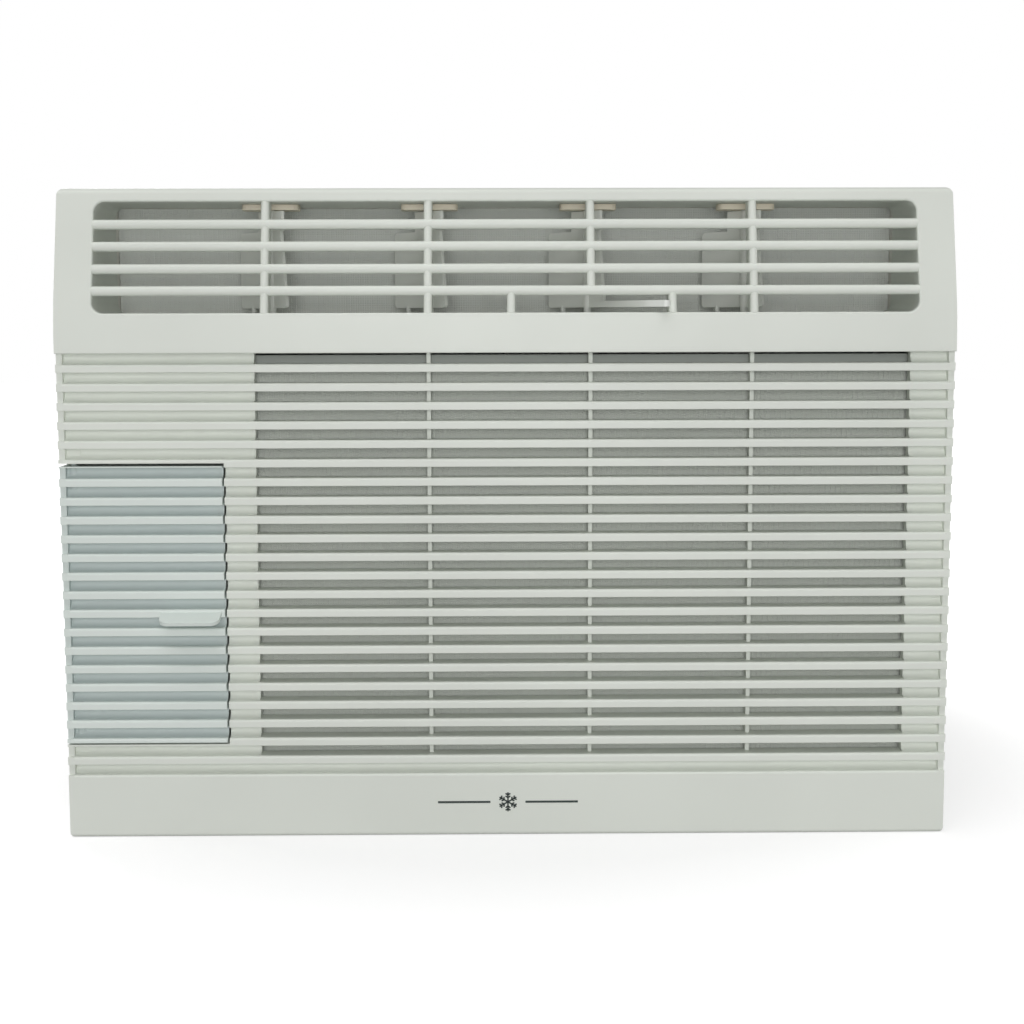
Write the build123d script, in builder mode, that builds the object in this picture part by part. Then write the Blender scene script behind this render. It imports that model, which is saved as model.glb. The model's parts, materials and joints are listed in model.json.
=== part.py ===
from build123d import *

import math
import os

# Compact window air conditioner. Millimetres, +Z up, room side towards -Y.
# The origin is in the middle of the footprint, at the height of the sill it stands on.
# "Reach" is the distance behind the flat lower face of the front panel, along +Y.

# ---- driving dimensions ------------------------------------------------------------
WIDTH = 450.0
HEIGHT = 330.0
DEPTH = 400.0
TAB_REACH = 11.0            # the door's finger tab stands this far in front of the face
WALL = 2.5                  # moulded wall
SHEET = 1.0                 # cabinet sheet metal
PANEL_DEPTH = 62.0

HALF = WIDTH / 2
FRONT = -DEPTH / 2 + TAB_REACH
BACK_REACH = DEPTH - TAB_REACH

# leaned upper face of the front panel
STRIP_PROUD = 1.5           # the strip under the outlet stands proud of the slats
STRIP_Z = 247.75            # lower edge of that strip
LEAN_START_Z = 264.5
LEAN_SLOPE = 0.24
LEAN_BLEND_R = 120.0

# intake grille
SLAT_PITCH = 9.53
SLAT_FACE = 4.1
SLAT_DEPTH = 11.0
GROOVE_COUNT = 23
GROOVE_DEPTH = 5.5
GROOVE_ROOT_R = 3.5
SLAT_TOP_R = 1.2
SLAT_LOW_R = 0.4
GROOVE_END = HALF - 3.0
EDGE_GROOVE_DEPTH = 2.0
OPEN_LEFT = -126.7
OPEN_RIGHT = 203.5
RIB_WIDTH = 2.0
RIB_XS = (-39.3, 42.3, 123.9)
GROOVE_HEIGHT = SLAT_PITCH - SLAT_FACE

# outlet
OUTLET_HALF = 206.3
OUTLET_LOW = 267.6
OUTLET_TOP = 323.2
OUTLET_R = 5.25
BAR_ZS = (311.85, 300.8, 289.6, 278.65)
BAR_HEIGHT = 4.8
BAR_DEPTH = 8.0
MULLION_WIDTH = 4.2
MULLION_XS = (-120.9, -39.3, 42.3, 123.9)
LEVER_VANE = 2              # index of the vane that carries the lever
STOP_WIDTH = 4.2
STOP_XS = (2.3, 83.0)
GRID_INSET = 0.6            # the mullions stand this far behind the bars

# vanes
VANE_REACH = 38.9
VANE_ANGLE = 41.6           # the blades' front edges are turned this far to the right
VANE_FRONT = 13.2
VANE_REAR = 28.2
VANE_THICK = 1.8
VANE_LOW = 270.3
VANE_TOP = 309.5
VANE_NECK_TOP = 319.7
VANE_NECK_HALF = 11.0
VANE_PIN_R = 1.8
LEVER_LENGTH = 57.5
CRANK_R = 18.0
CRANK_PIN_R = 1.25
LINK_LOW = 261.6
LINK_TOP = 264.0
FIT = 0.05                  # radial running fit of pins and spindles
CLEAR = 0.45                # radial clearance of the open link pivots
PLATE_LOW = 320.2
PLATE_TOP = 323.0

# control door and recess
DOOR_RIGHT = -143.3
DOOR_LOW = 49.5
DOOR_TOP = 191.3
DOOR_BACK = 8.0
RECESS_RIGHT = -142.2
RECESS_LOW = 48.6
RECESS_TOP = 192.8
HINGE_X = -219.0
HINGE_REACH = 8.0
HINGE_PIN_R = 1.5
FLANGE_REACH = 15.0
HINGE_CUT_REACH = 17.4
TAB_LEFT = -175.3
TAB_RIGHT = -145.0
TAB_ROOT_Z = 117.0
TAB_THICK = 1.8
PLATE_REACH = 36.0          # control plate
KNOB_X = -183.0
MODE_Z = 155.0
THERMO_Z = 88.0
KNOB_R = 20.0
KNOB_LENGTH = 14.0
SPINDLE_R = 3.0

# filter
FILTER_REACH = 13.0
FILTER_THICK = 6.0
FILTER_LEFT = -134.0
FILTER_LOW = 35.5
FILTER_TOP = 246.5

# air system on one shaft
FAN_X = 45.0
FAN_Z = 140.0
WHEEL_R = 74.0
AXIAL_R = 110.0
SHAFT_R = 4.0
MOTOR_R = 50.0

# refrigerant circuit
PIPE_R = 4.0
COIL_LEFT = -125.0
COIL_RIGHT = 203.0
COMP_X = -150.0
COMP_REACH = 232.0
COMP_R = 50.0

# places shared by several pieces
PAN_FLOOR = 1.2
AXIAL = (290.0, 316.0)
FEET_TOP = 18.0
FILTER_MESH_RIGHT = 208.0
BULB_EXIT_REACH = 50.0
BULB_Z = 76.0
HARNESS_X = -216.5
HARNESS_Z = 180.0
HARNESS_R = 3.0
CAP_REACH = 84.0
CAP_LOW = 92.0
CAP_TOP = 150.0
CAP_R = 13.0
CABINET_SCREWS = (90.0, 205.0, 370.0)
GLAND_REACH = 100.0
GLAND_Z = 34.0
GLAND_R = 6.5
GLAND_BORE_R = 3.8

os.makedirs("parts", exist_ok=True)


def save(built, name):
    """Name a finished piece and write it."""
    built.part.label = name
    export_step(built.part, f"parts/{name}.step")


def across(reach):
    """Plane square to the depth; local x is X, local y is Z. Negative extrusion goes back."""
    return Plane.XZ.offset(-(FRONT + reach))


def block(xs, reaches, zs, mode=Mode.ADD):
    """Box between two values of X, reach and Z, in the part being built."""
    centre = (sum(xs) / 2, FRONT + sum(reaches) / 2, sum(zs) / 2)
    with Locations(centre):
        Box(xs[1] - xs[0], reaches[1] - reaches[0], zs[1] - zs[0], mode=mode)


def rod(x, z, reaches, radius, mode=Mode.ADD):
    """Cylinder along the depth."""
    centre = (x, FRONT + sum(reaches) / 2, z)
    with Locations(centre):
        Cylinder(radius, reaches[1] - reaches[0], rotation=(90, 0, 0), mode=mode)


def post(x, reach, zs, radius, mode=Mode.ADD):
    """Upright cylinder."""
    with Locations((x, FRONT + reach, sum(zs) / 2)):
        Cylinder(radius, zs[1] - zs[0], mode=mode)


def axle(xs, reach, z, radius, mode=Mode.ADD):
    """Cylinder along the width."""
    with Locations((sum(xs) / 2, FRONT + reach, z)):
        Cylinder(radius, xs[1] - xs[0], rotation=(0, 90, 0), mode=mode)


def lean_reach(z):
    """Reach of the leaned face at a height."""
    return -STRIP_PROUD + LEAN_SLOPE * (z - LEAN_START_Z)


def groove_top(index):
    return STRIP_Z - SLAT_PITCH * index


def groove_outline(index):
    """Closed valley between two slats, in reach and height, with its rounded mouth."""
    top = groove_top(index)
    low = top - GROOVE_HEIGHT
    y = FRONT
    Line((y - 1, top + SLAT_LOW_R), (y, top + SLAT_LOW_R))
    RadiusArc((y, top + SLAT_LOW_R), (y + SLAT_LOW_R, top), -SLAT_LOW_R)
    Line((y + SLAT_LOW_R, top), (y + GROOVE_DEPTH, top))
    Line((y + GROOVE_DEPTH, top), (y + GROOVE_DEPTH, low + GROOVE_ROOT_R))
    RadiusArc(
        (y + GROOVE_DEPTH, low + GROOVE_ROOT_R), (y + GROOVE_DEPTH - GROOVE_ROOT_R, low), GROOVE_ROOT_R
    )
    Line((y + GROOVE_DEPTH - GROOVE_ROOT_R, low), (y + SLAT_TOP_R, low))
    RadiusArc((y + SLAT_TOP_R, low), (y, low - SLAT_TOP_R), -SLAT_TOP_R)
    Line((y, low - SLAT_TOP_R), (y - 1, low - SLAT_TOP_R))
    Line((y - 1, low - SLAT_TOP_R), (y - 1, top + SLAT_LOW_R))


def on_leaned_face(edge):
    """True for an edge whose middle lies on the leaned face or its blend."""
    middle = edge @ 0.5
    reach = middle.Y - FRONT
    return reach < lean_reach(HEIGHT) and middle.Z > STRIP_Z + 5


def around_outlet(edge):
    """True for an edge of the outlet's mouth."""
    middle = edge @ 0.5
    across_ok = abs(middle.X) < OUTLET_HALF + 0.5
    height_ok = OUTLET_LOW - 0.5 < middle.Z < OUTLET_TOP + 0.5
    return across_ok and height_ok and middle.Y < FRONT + 20


def upright(x, width, low, top):
    """Mullion of the outlet grid, leaning with the face, with a rounded nose."""
    corners = []
    for extra, z in ((0, low), (0, top), (BAR_DEPTH, top), (BAR_DEPTH, low)):
        corners.append((FRONT + lean_reach(z) + GRID_INSET + width / 2 + extra, z))
    with BuildSketch(Plane.YZ.offset(x - width / 2)) as web:
        Polygon(*corners, align=None)
    extrude(web.sketch, amount=width)
    start = Vector(x, FRONT + lean_reach(low) + GRID_INSET + width / 2, low)
    end = Vector(x, FRONT + lean_reach(top) + GRID_INSET + width / 2, top)
    with BuildSketch(Plane(start, z_dir=end - start)) as nose:
        Circle(width / 2)
    extrude(nose.sketch, amount=(end - start).length)


# ---- front panel -------------------------------------------------------------------
PANEL_BACK = FRONT + PANEL_DEPTH
DUCT_WALL = 2.2
DUCT_FLOOR_LOW = OUTLET_LOW - 2.1
DUCT_ROOF_TOP = OUTLET_TOP + 2.3
FILTER_SLOT_GAP = 1.0
RECESS_WALL = 1.8
BAR_NOSE = BAR_HEIGHT / 2
FASCIA_HOLLOW_TOP = 28.0
STRIP_HOLLOW_LOW = 250.5
LEAN_WALL = 3.0
OUTLET_EDGE_R = 1.0
TOP_CORNER_R = 3.5
LOW_CORNER_R = 2.7
RIB_REACH = 7.0
RIB_BACK = 12.0
RAIL = 2.5
RAIL_BACK = 22.0
BOSS_HALF = 4.0
BOSS_HEIGHT = 7.0
CRANK_SLOT_GAP = 1.6
CRANK_ARC_START = 48.0
CRANK_ARC_SIZE = 86.0
PANEL_SCREW_REACH = 57.0
PANEL_SCREW_ZS = (14.0, 256.0)
SCREW_SEAT = 1.7

with BuildPart() as front_panel:
    # outer body: flat face, proud strip, leaned face blended into it, flat top
    with BuildSketch(Plane.YZ.offset(-HALF)) as side_view:
        lean_corner = (FRONT - STRIP_PROUD, LEAN_START_Z)
        top_corner = (FRONT + lean_reach(HEIGHT), HEIGHT)
        with BuildLine():
            Polyline(
                (FRONT, 0),
                (FRONT, STRIP_Z),
                (FRONT - STRIP_PROUD, STRIP_Z),
                lean_corner,
                top_corner,
                (PANEL_BACK, HEIGHT),
                (PANEL_BACK, 0),
                close=True,
            )
        make_face()
        fillet(side_view.vertices().sort_by_distance(lean_corner)[0], radius=LEAN_BLEND_R)
        fillet(side_view.vertices().sort_by_distance(top_corner)[0], radius=4.0)
        fillet(side_view.vertices().sort_by_distance((FRONT, 0))[0], radius=2.0)
        fillet(side_view.vertices().sort_by_distance((FRONT - STRIP_PROUD, STRIP_Z))[0], radius=0.6)
    extrude(amount=WIDTH)
    # seen from the front its corners are rounded too
    with BuildSketch(across(-10)) as front_view:
        with Locations((0, HEIGHT / 2)):
            Rectangle(WIDTH, HEIGHT)
        fillet(front_view.vertices().group_by(Axis.Y)[-1], radius=TOP_CORNER_R)
        fillet(front_view.vertices().group_by(Axis.Y)[0], radius=LOW_CORNER_R)
    extrude(amount=-(PANEL_DEPTH + 20), mode=Mode.INTERSECT)

    # hollow behind the grille, the fascia, the strip and beside the duct
    inside = (-HALF + WALL, HALF - WALL)
    block(inside, (SLAT_DEPTH, PANEL_DEPTH + 1), (WALL, DUCT_FLOOR_LOW), Mode.SUBTRACT)
    block(inside, (WALL, SLAT_DEPTH + 1), (WALL, FASCIA_HOLLOW_TOP), Mode.SUBTRACT)
    block(inside, (WALL, SLAT_DEPTH + 1), (STRIP_HOLLOW_LOW, DUCT_FLOOR_LOW), Mode.SUBTRACT)
    block(inside, (20, PANEL_DEPTH + 1), (DUCT_ROOF_TOP, HEIGHT - WALL), Mode.SUBTRACT)
    with BuildSketch(Plane.YZ.offset(OUTLET_HALF + DUCT_WALL)):
        with BuildLine():
            Polyline(
                (FRONT + lean_reach(DUCT_FLOOR_LOW) + LEAN_WALL, DUCT_FLOOR_LOW - 0.5),
                (FRONT + lean_reach(HEIGHT - WALL) + LEAN_WALL, HEIGHT - WALL),
                (PANEL_BACK + 1, HEIGHT - WALL),
                (PANEL_BACK + 1, DUCT_FLOOR_LOW - 0.5),
                close=True,
            )
        make_face()
    side_pocket = extrude(amount=HALF - WALL - OUTLET_HALF - DUCT_WALL, mode=Mode.SUBTRACT)
    mirror(side_pocket, about=Plane.YZ, mode=Mode.SUBTRACT)

    # outlet duct through the leaned face
    with BuildSketch(across(-5)):
        with Locations((0, (OUTLET_LOW + OUTLET_TOP) / 2)):
            RectangleRounded(2 * OUTLET_HALF, OUTLET_TOP - OUTLET_LOW, OUTLET_R)
    extrude(amount=-(PANEL_DEPTH + 10), mode=Mode.SUBTRACT)
    mouth = front_panel.edges().filter_by(lambda e: on_leaned_face(e) and around_outlet(e))
    fillet(mouth, radius=OUTLET_EDGE_R)

    # valleys between the slats, and their shallow run-out over the side edges
    with BuildSketch(Plane.YZ.offset(-GROOVE_END)):
        for index in range(GROOVE_COUNT):
            with BuildLine():
                groove_outline(index)
            make_face()
    extrude(amount=2 * GROOVE_END, mode=Mode.SUBTRACT)
    for index in range(GROOVE_COUNT):
        run_out = (groove_top(index) - GROOVE_HEIGHT, groove_top(index))
        for side in (-1, 1):
            xs = sorted((side * (GROOVE_END - 0.5), side * (HALF + 1)))
            block(xs, (-2, EDGE_GROOVE_DEPTH), run_out, Mode.SUBTRACT)

    # open slots, and the ribs that tie the slats together
    for index in range(GROOVE_COUNT - 1):
        slot = (groove_top(index) - GROOVE_HEIGHT, groove_top(index))
        block((OPEN_LEFT, OPEN_RIGHT), (-3, SLAT_DEPTH + 1), slot, Mode.SUBTRACT)
    for x in RIB_XS:
        block((x - RIB_WIDTH / 2, x + RIB_WIDTH / 2), (RIB_REACH, RIB_BACK), (WALL, DUCT_FLOOR_LOW))

    # filter rails and the slot in the right side
    for low in (FILTER_LOW - FILTER_SLOT_GAP - RAIL, FILTER_TOP + FILTER_SLOT_GAP):
        block((FILTER_LEFT - 2, HALF - WALL), (SLAT_DEPTH - 1, RAIL_BACK), (low, low + RAIL))
    block(
        (HALF - WALL - 1, HALF + 1),
        (FILTER_REACH - FILTER_SLOT_GAP, FILTER_REACH + FILTER_THICK + FILTER_SLOT_GAP),
        (FILTER_LOW - FILTER_SLOT_GAP, FILTER_TOP + FILTER_SLOT_GAP),
        Mode.SUBTRACT,
    )

    # outlet grid: round-nosed bars that follow the lean, mullions and the lever's two stops
    for z in BAR_ZS:
        reach = lean_reach(z)
        block((-OUTLET_HALF - 0.5, OUTLET_HALF + 0.5), (reach + BAR_NOSE, reach + BAR_DEPTH),
              (z - BAR_HEIGHT / 2, z + BAR_HEIGHT / 2))
        axle((-OUTLET_HALF - 0.5, OUTLET_HALF + 0.5), reach + BAR_NOSE, z, BAR_HEIGHT / 2)
    for index, x in enumerate(MULLION_XS):
        low = BAR_ZS[-1] if index == LEVER_VANE else OUTLET_LOW - 0.5
        upright(x, MULLION_WIDTH, low, OUTLET_TOP + 0.5)
    for x in STOP_XS:
        upright(x, STOP_WIDTH, OUTLET_LOW - 0.5, BAR_ZS[-1])

    # control recess: opening, side relief for the hinge, and the well behind
    block((-HALF - 1, RECESS_RIGHT), (-2, HINGE_CUT_REACH), (RECESS_LOW, RECESS_TOP), Mode.SUBTRACT)
    well_back = PLATE_REACH - 0.1
    block((RECESS_RIGHT, RECESS_RIGHT + RECESS_WALL), (SLAT_DEPTH - 1, well_back),
          (RECESS_LOW - RECESS_WALL, RECESS_TOP + RECESS_WALL))
    for low in (RECESS_LOW - RECESS_WALL, RECESS_TOP):
        block((-HALF + WALL - 1, RECESS_RIGHT + RECESS_WALL), (SLAT_DEPTH - 2, well_back),
              (low, low + RECESS_WALL))
        boss_low = RECESS_LOW - BOSS_HEIGHT if low < RECESS_LOW else RECESS_TOP
        block((-HALF + WALL - 0.5, HINGE_X + BOSS_HALF), (GROOVE_DEPTH - 0.5, HINGE_REACH + BOSS_HALF),
              (boss_low, boss_low + BOSS_HEIGHT))
        post(HINGE_X, HINGE_REACH, (boss_low - 1, boss_low + BOSS_HEIGHT + 1),
             HINGE_PIN_R + FIT, Mode.SUBTRACT)

    # vane pivots in the duct floor, and the arc slots for their crank pins
    for x in MULLION_XS:
        post(x, VANE_REACH, (DUCT_FLOOR_LOW - 1, OUTLET_LOW + 1), VANE_PIN_R + FIT, Mode.SUBTRACT)
        with BuildSketch(Plane.XY.offset(DUCT_FLOOR_LOW - 1)):
            with BuildLine(mode=Mode.PRIVATE) as crank_path:
                CenterArc((x, FRONT + VANE_REACH), CRANK_R, CRANK_ARC_START, CRANK_ARC_SIZE)
            SlotArc(crank_path.edge(), 2 * CRANK_PIN_R + CRANK_SLOT_GAP)
        extrude(amount=4, mode=Mode.SUBTRACT)

    # screw holes in the collar and clip holes for the pivot plates
    for side in (-1, 1):
        for z in PANEL_SCREW_ZS:
            xs = sorted((side * (HALF - WALL - 1), side * (HALF + 1)))
            axle(xs, PANEL_SCREW_REACH, z, 2.0, Mode.SUBTRACT)
            seat = sorted((side * (HALF - SCREW_SEAT), side * (HALF + 1)))
            axle(seat, PANEL_SCREW_REACH, z, 3.6, Mode.SUBTRACT)
save(front_panel, "front_panel")


# ---- control door ------------------------------------------------------------------
TAB_SLOPE = 17.0
TAB_REACH_LENGTH = 11.5

with BuildPart() as control_door:
    block((-HALF, DOOR_RIGHT), (0, DOOR_BACK), (DOOR_LOW, DOOR_TOP))
    block((-HALF, -HALF + WALL), (DOOR_BACK - 1, FLANGE_REACH), (DOOR_LOW, DOOR_TOP))
    # same valleys as the panel around it
    with BuildSketch(Plane.YZ.offset(-GROOVE_END)):
        for index in range(GROOVE_COUNT):
            with BuildLine():
                groove_outline(index)
            make_face()
    extrude(amount=GROOVE_END + DOOR_RIGHT + 1, mode=Mode.SUBTRACT)
    for index in range(GROOVE_COUNT):
        run_out = (groove_top(index) - GROOVE_HEIGHT, groove_top(index))
        block((-HALF - 1, -GROOVE_END + 0.5), (-2, EDGE_GROOVE_DEPTH), run_out, Mode.SUBTRACT)
    # hinge barrel ends with their pins
    for low, high, pin_low, pin_high in (
        (DOOR_LOW, DOOR_LOW + 12, DOOR_LOW - 6, DOOR_LOW + 4),
        (DOOR_TOP - 12, DOOR_TOP, DOOR_TOP - 4, DOOR_TOP + 6),
    ):
        post(HINGE_X, HINGE_REACH, (low, high), 3.2)
        post(HINGE_X, HINGE_REACH, (pin_low, pin_high), HINGE_PIN_R)
    # finger tab: a thin tongue that slopes down to the front, rounded at both ends
    slope = math.radians(TAB_SLOPE)
    tab_plane = Plane(
        origin=((TAB_LEFT + TAB_RIGHT) / 2, FRONT, TAB_ROOT_Z - TAB_THICK / 2),
        x_dir=(1, 0, 0),
        z_dir=(0, -math.sin(slope), math.cos(slope)),
    )
    with BuildSketch(tab_plane):
        with Locations((0, (GROOVE_DEPTH - TAB_REACH_LENGTH) / 2)):
            RectangleRounded(TAB_RIGHT - TAB_LEFT, TAB_REACH_LENGTH + GROOVE_DEPTH, 5.0)
    extrude(amount=TAB_THICK / 2, both=True)
save(control_door, "control_door")


# ---- air vanes ---------------------------------------------------------------------
VANE_LEAN = 4.3
LEVER_LOW = 270.35
LEVER_TOP = 273.6
LEVER_WIDTH = 3.0
LEVER_TIP_WIDTH = 4.4
BARREL_R = 2.3


def vane_plane(x):
    """Upright plane through a vane's blade: local x runs from the pivot to the rear edge."""
    turn = math.radians(VANE_ANGLE)
    return Plane(
        origin=(x, FRONT + VANE_REACH, 0),
        x_dir=(-math.sin(turn), math.cos(turn), 0),
        z_dir=(math.cos(turn), math.sin(turn), 0),
    )


for number, x in enumerate(MULLION_XS, start=1):
    with BuildPart() as vane:
        # blade: bottom corners rounded, front edge leaning back, narrower neck above
        with BuildSketch(vane_plane(x)) as blade:
            Polygon(
                (-VANE_FRONT, VANE_LOW),
                (VANE_REAR, VANE_LOW),
                (VANE_REAR, VANE_TOP),
                (VANE_NECK_HALF, VANE_TOP),
                (VANE_NECK_HALF, VANE_NECK_TOP),
                (-VANE_NECK_HALF + 1, VANE_NECK_TOP),
                (-VANE_NECK_HALF + 1, VANE_TOP),
                (-VANE_FRONT + VANE_LEAN, VANE_TOP),
                align=None,
            )
            fillet(blade.vertices().group_by(Axis.Y)[0], radius=2.0)
            fillet(blade.vertices().sort_by_distance((VANE_REAR, VANE_TOP))[0], radius=2.5)
        extrude(amount=VANE_THICK / 2, both=True)
        # pivot barrel and the pins that stand in the duct floor and the pivot plate
        post(x, VANE_REACH, (VANE_LOW, VANE_NECK_TOP), BARREL_R)
        post(x, VANE_REACH, (DUCT_FLOOR_LOW - 1.2, VANE_LOW + 1), VANE_PIN_R)
        post(x, VANE_REACH, (VANE_NECK_TOP - 1, PLATE_TOP - 0.4), VANE_PIN_R)
        # crank pin under the rear of the blade
        turn = math.radians(VANE_ANGLE)
        crank_x = x - CRANK_R * math.sin(turn)
        crank_reach = VANE_REACH + CRANK_R * math.cos(turn)
        post(crank_x, crank_reach, (LINK_LOW - 0.8, VANE_LOW + 1), CRANK_PIN_R)
        if number == LEVER_VANE + 1:
            lever_plane = Plane(
                origin=(x, FRONT + VANE_REACH, LEVER_LOW),
                x_dir=(math.sin(turn), -math.cos(turn), 0),
                z_dir=(0, 0, 1),
            )
            with BuildSketch(lever_plane) as lever_outline:
                Polygon(
                    (4, -LEVER_WIDTH / 2),
                    (LEVER_LENGTH, -LEVER_TIP_WIDTH / 2),
                    (LEVER_LENGTH, LEVER_TIP_WIDTH / 2),
                    (4, LEVER_WIDTH / 2),
                    align=None,
                )
                fillet(lever_outline.vertices().group_by(Axis.X)[-1], radius=1.9)
            extrude(amount=LEVER_TOP - LEVER_LOW)
    save(vane, f"vane_{number}")

turn = math.radians(VANE_ANGLE)
LINK_REACH = VANE_REACH + CRANK_R * math.cos(turn)
LINK_SHIFT = -CRANK_R * math.sin(turn)
LINK_HALF_WIDTH = 3.5
with BuildPart() as vane_link:
    with BuildSketch(Plane.XY.offset(LINK_LOW)):
        link_middle = (MULLION_XS[0] + MULLION_XS[-1]) / 2 + LINK_SHIFT
        with Locations((link_middle, FRONT + LINK_REACH)):
            SlotOverall(MULLION_XS[-1] - MULLION_XS[0] + 10, 2 * LINK_HALF_WIDTH)
        for index, x in enumerate(MULLION_XS):
            gap = FIT if index == LEVER_VANE else CLEAR
            with Locations((x + LINK_SHIFT, FRONT + LINK_REACH)):
                Circle(CRANK_PIN_R + gap, mode=Mode.SUBTRACT)
    extrude(amount=LINK_TOP - LINK_LOW)
save(vane_link, "vane_link")

PLATE_LENGTH = 29.0
PLATE_WIDTH = 14.0
with BuildPart() as vane_pivot_plates:
    with BuildSketch(Plane.XY.offset(PLATE_LOW)):
        with Locations(*[(x, FRONT + VANE_REACH) for x in MULLION_XS]):
            RectangleRounded(PLATE_LENGTH, PLATE_WIDTH, 3)
            Circle(VANE_PIN_R + FIT, mode=Mode.SUBTRACT)
    extrude(amount=PLATE_TOP - PLATE_LOW)
    # neck of each plate, clipped against the duct's roof
    with BuildSketch(Plane.XY.offset(PLATE_TOP)):
        with Locations(*[(x, FRONT + VANE_REACH) for x in MULLION_XS]):
            Rectangle(PLATE_LENGTH - 12, 6)
            Circle(VANE_PIN_R + FIT, mode=Mode.SUBTRACT)
    extrude(amount=OUTLET_TOP - PLATE_TOP)
save(vane_pivot_plates, "vane_pivot_plates")


# ---- controls ----------------------------------------------------------------------
BOX_LEFT = -221.0
BOX_RIGHT = -143.0
BOX_BACK = 100.0
PLATE_THICK = 2.0
SWITCH_BACK = 62.0

with BuildPart() as control_plate:
    block((-HALF + WALL + 0.3, RECESS_RIGHT - 0.3), (PLATE_REACH, PLATE_REACH + PLATE_THICK),
          (RECESS_LOW - 1.5, RECESS_TOP + 1.5))
    for z in (MODE_Z, THERMO_Z):
        rod(KNOB_X, z, (PLATE_REACH - 1, PLATE_REACH + 3), SPINDLE_R + 1.5, Mode.SUBTRACT)
        # raised ring round each knob
        with BuildSketch(across(PLATE_REACH)):
            with Locations((KNOB_X, z)):
                Circle(KNOB_R + 4)
                Circle(KNOB_R + 2.5, mode=Mode.SUBTRACT)
        extrude(amount=1.0)
save(control_plate, "control_plate")

for name, z in (("mode_knob", MODE_Z), ("thermostat_knob", THERMO_Z)):
    knob_front = PLATE_REACH - 1 - KNOB_LENGTH
    with BuildPart() as knob:
        rod(KNOB_X, z, (knob_front + 6, PLATE_REACH - 1), KNOB_R)
        fillet(knob.edges().group_by(Axis.Y)[0], radius=1.5)
        # finger grip across the front, and a groove that points to the setting
        with BuildSketch(across(knob_front)) as grip:
            with Locations((KNOB_X, z)):
                SlotOverall(2 * KNOB_R - 2, 9, rotation=90)
        extrude(amount=-7)
        block((KNOB_X - 0.7, KNOB_X + 0.7), (knob_front - 1, knob_front + 0.8), (z + 6, z + KNOB_R),
              Mode.SUBTRACT)
        rod(KNOB_X, z, (PLATE_REACH - 2, PLATE_REACH + 12), SPINDLE_R)
    save(knob, name)

for name, z, half_width, half_height, back in (
    ("rotary_switch", MODE_Z, 17, 17, SWITCH_BACK),
    ("thermostat", THERMO_Z, 16, 22, SWITCH_BACK + 4),
):
    with BuildPart() as device:
        block((KNOB_X - half_width, KNOB_X + half_width), (PLATE_REACH + PLATE_THICK, back),
              (z - half_height, z + half_height))
        rod(KNOB_X, z, (PLATE_REACH, PLATE_REACH + 13), SPINDLE_R + FIT, Mode.SUBTRACT)
        for step in (-1, 0, 1):
            block((KNOB_X + 9 * step - 3, KNOB_X + 9 * step + 3), (back - 0.5, back + 5), (z - 0.4, z + 0.4))
    save(device, name)

with BuildPart() as control_box:
    block((BOX_LEFT, BOX_RIGHT), (PLATE_REACH + PLATE_THICK, BOX_BACK), (RECESS_LOW, RECESS_TOP))
    block((BOX_LEFT + SHEET, BOX_RIGHT - SHEET), (PLATE_REACH, BOX_BACK - SHEET),
          (RECESS_LOW + SHEET, RECESS_TOP - SHEET), Mode.SUBTRACT)
    axle((BOX_RIGHT - 4, BOX_RIGHT + 2), BULB_EXIT_REACH, BULB_Z, 2.0, Mode.SUBTRACT)
    rod(HARNESS_X, HARNESS_Z, (BOX_BACK - 3, BOX_BACK + 1), HARNESS_R + 0.5, Mode.SUBTRACT)
save(control_box, "control_box")

with BuildPart() as run_capacitor:
    post(KNOB_X, CAP_REACH, (CAP_LOW, CAP_TOP), CAP_R)
    fillet(run_capacitor.edges().filter_by(GeomType.CIRCLE), radius=1.2)
    for shift in (-5, 5):
        block((KNOB_X + shift - 3, KNOB_X + shift + 3), (CAP_REACH - 0.4, CAP_REACH + 0.4),
              (CAP_TOP - 0.5, CAP_TOP + 7))
save(run_capacitor, "run_capacitor")

with BuildPart() as capacitor_clip:
    with BuildSketch(Plane.XY.offset((CAP_LOW + CAP_TOP) / 2 - 5)):
        with Locations((KNOB_X, FRONT + CAP_REACH)):
            Circle(CAP_R + 1.0)
            Circle(CAP_R + 0.2, mode=Mode.SUBTRACT)
        with Locations((KNOB_X + CAP_R + 5, FRONT + BOX_BACK - SHEET - 0.6)):
            Rectangle(16, 1.0)
        with Locations((KNOB_X + CAP_R + 0.6, FRONT + BOX_BACK - 8)):
            Rectangle(1.0, 14)
    extrude(amount=10)
save(capacitor_clip, "capacitor_clip")


# ---- filter ------------------------------------------------------------------------
FILTER_RIM = 5.0
FILTER_BARS = (-50.0, 35.0, 120.0)
FILTER_RIGHT = HALF - 0.4

with BuildPart() as air_filter_frame:
    reaches = (FILTER_REACH, FILTER_REACH + FILTER_THICK)
    block((FILTER_LEFT, FILTER_RIGHT), reaches, (FILTER_LOW, FILTER_TOP))
    block((FILTER_LEFT + FILTER_RIM, FILTER_MESH_RIGHT), (FILTER_REACH - 1, FILTER_REACH + FILTER_THICK + 1),
          (FILTER_LOW + FILTER_RIM, FILTER_TOP - FILTER_RIM), Mode.SUBTRACT)
    for x in FILTER_BARS:
        block((x - 1, x + 1), (FILTER_REACH + 3.2, FILTER_REACH + FILTER_THICK),
              (FILTER_LOW + 1, FILTER_TOP - 1))
    # pull recess in the side that shows at the slot
    block((FILTER_RIGHT - 3, FILTER_RIGHT + 1), (FILTER_REACH + 1.5, FILTER_REACH + FILTER_THICK - 1.5),
          (120, 160), Mode.SUBTRACT)
save(air_filter_frame, "air_filter_frame")

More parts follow.
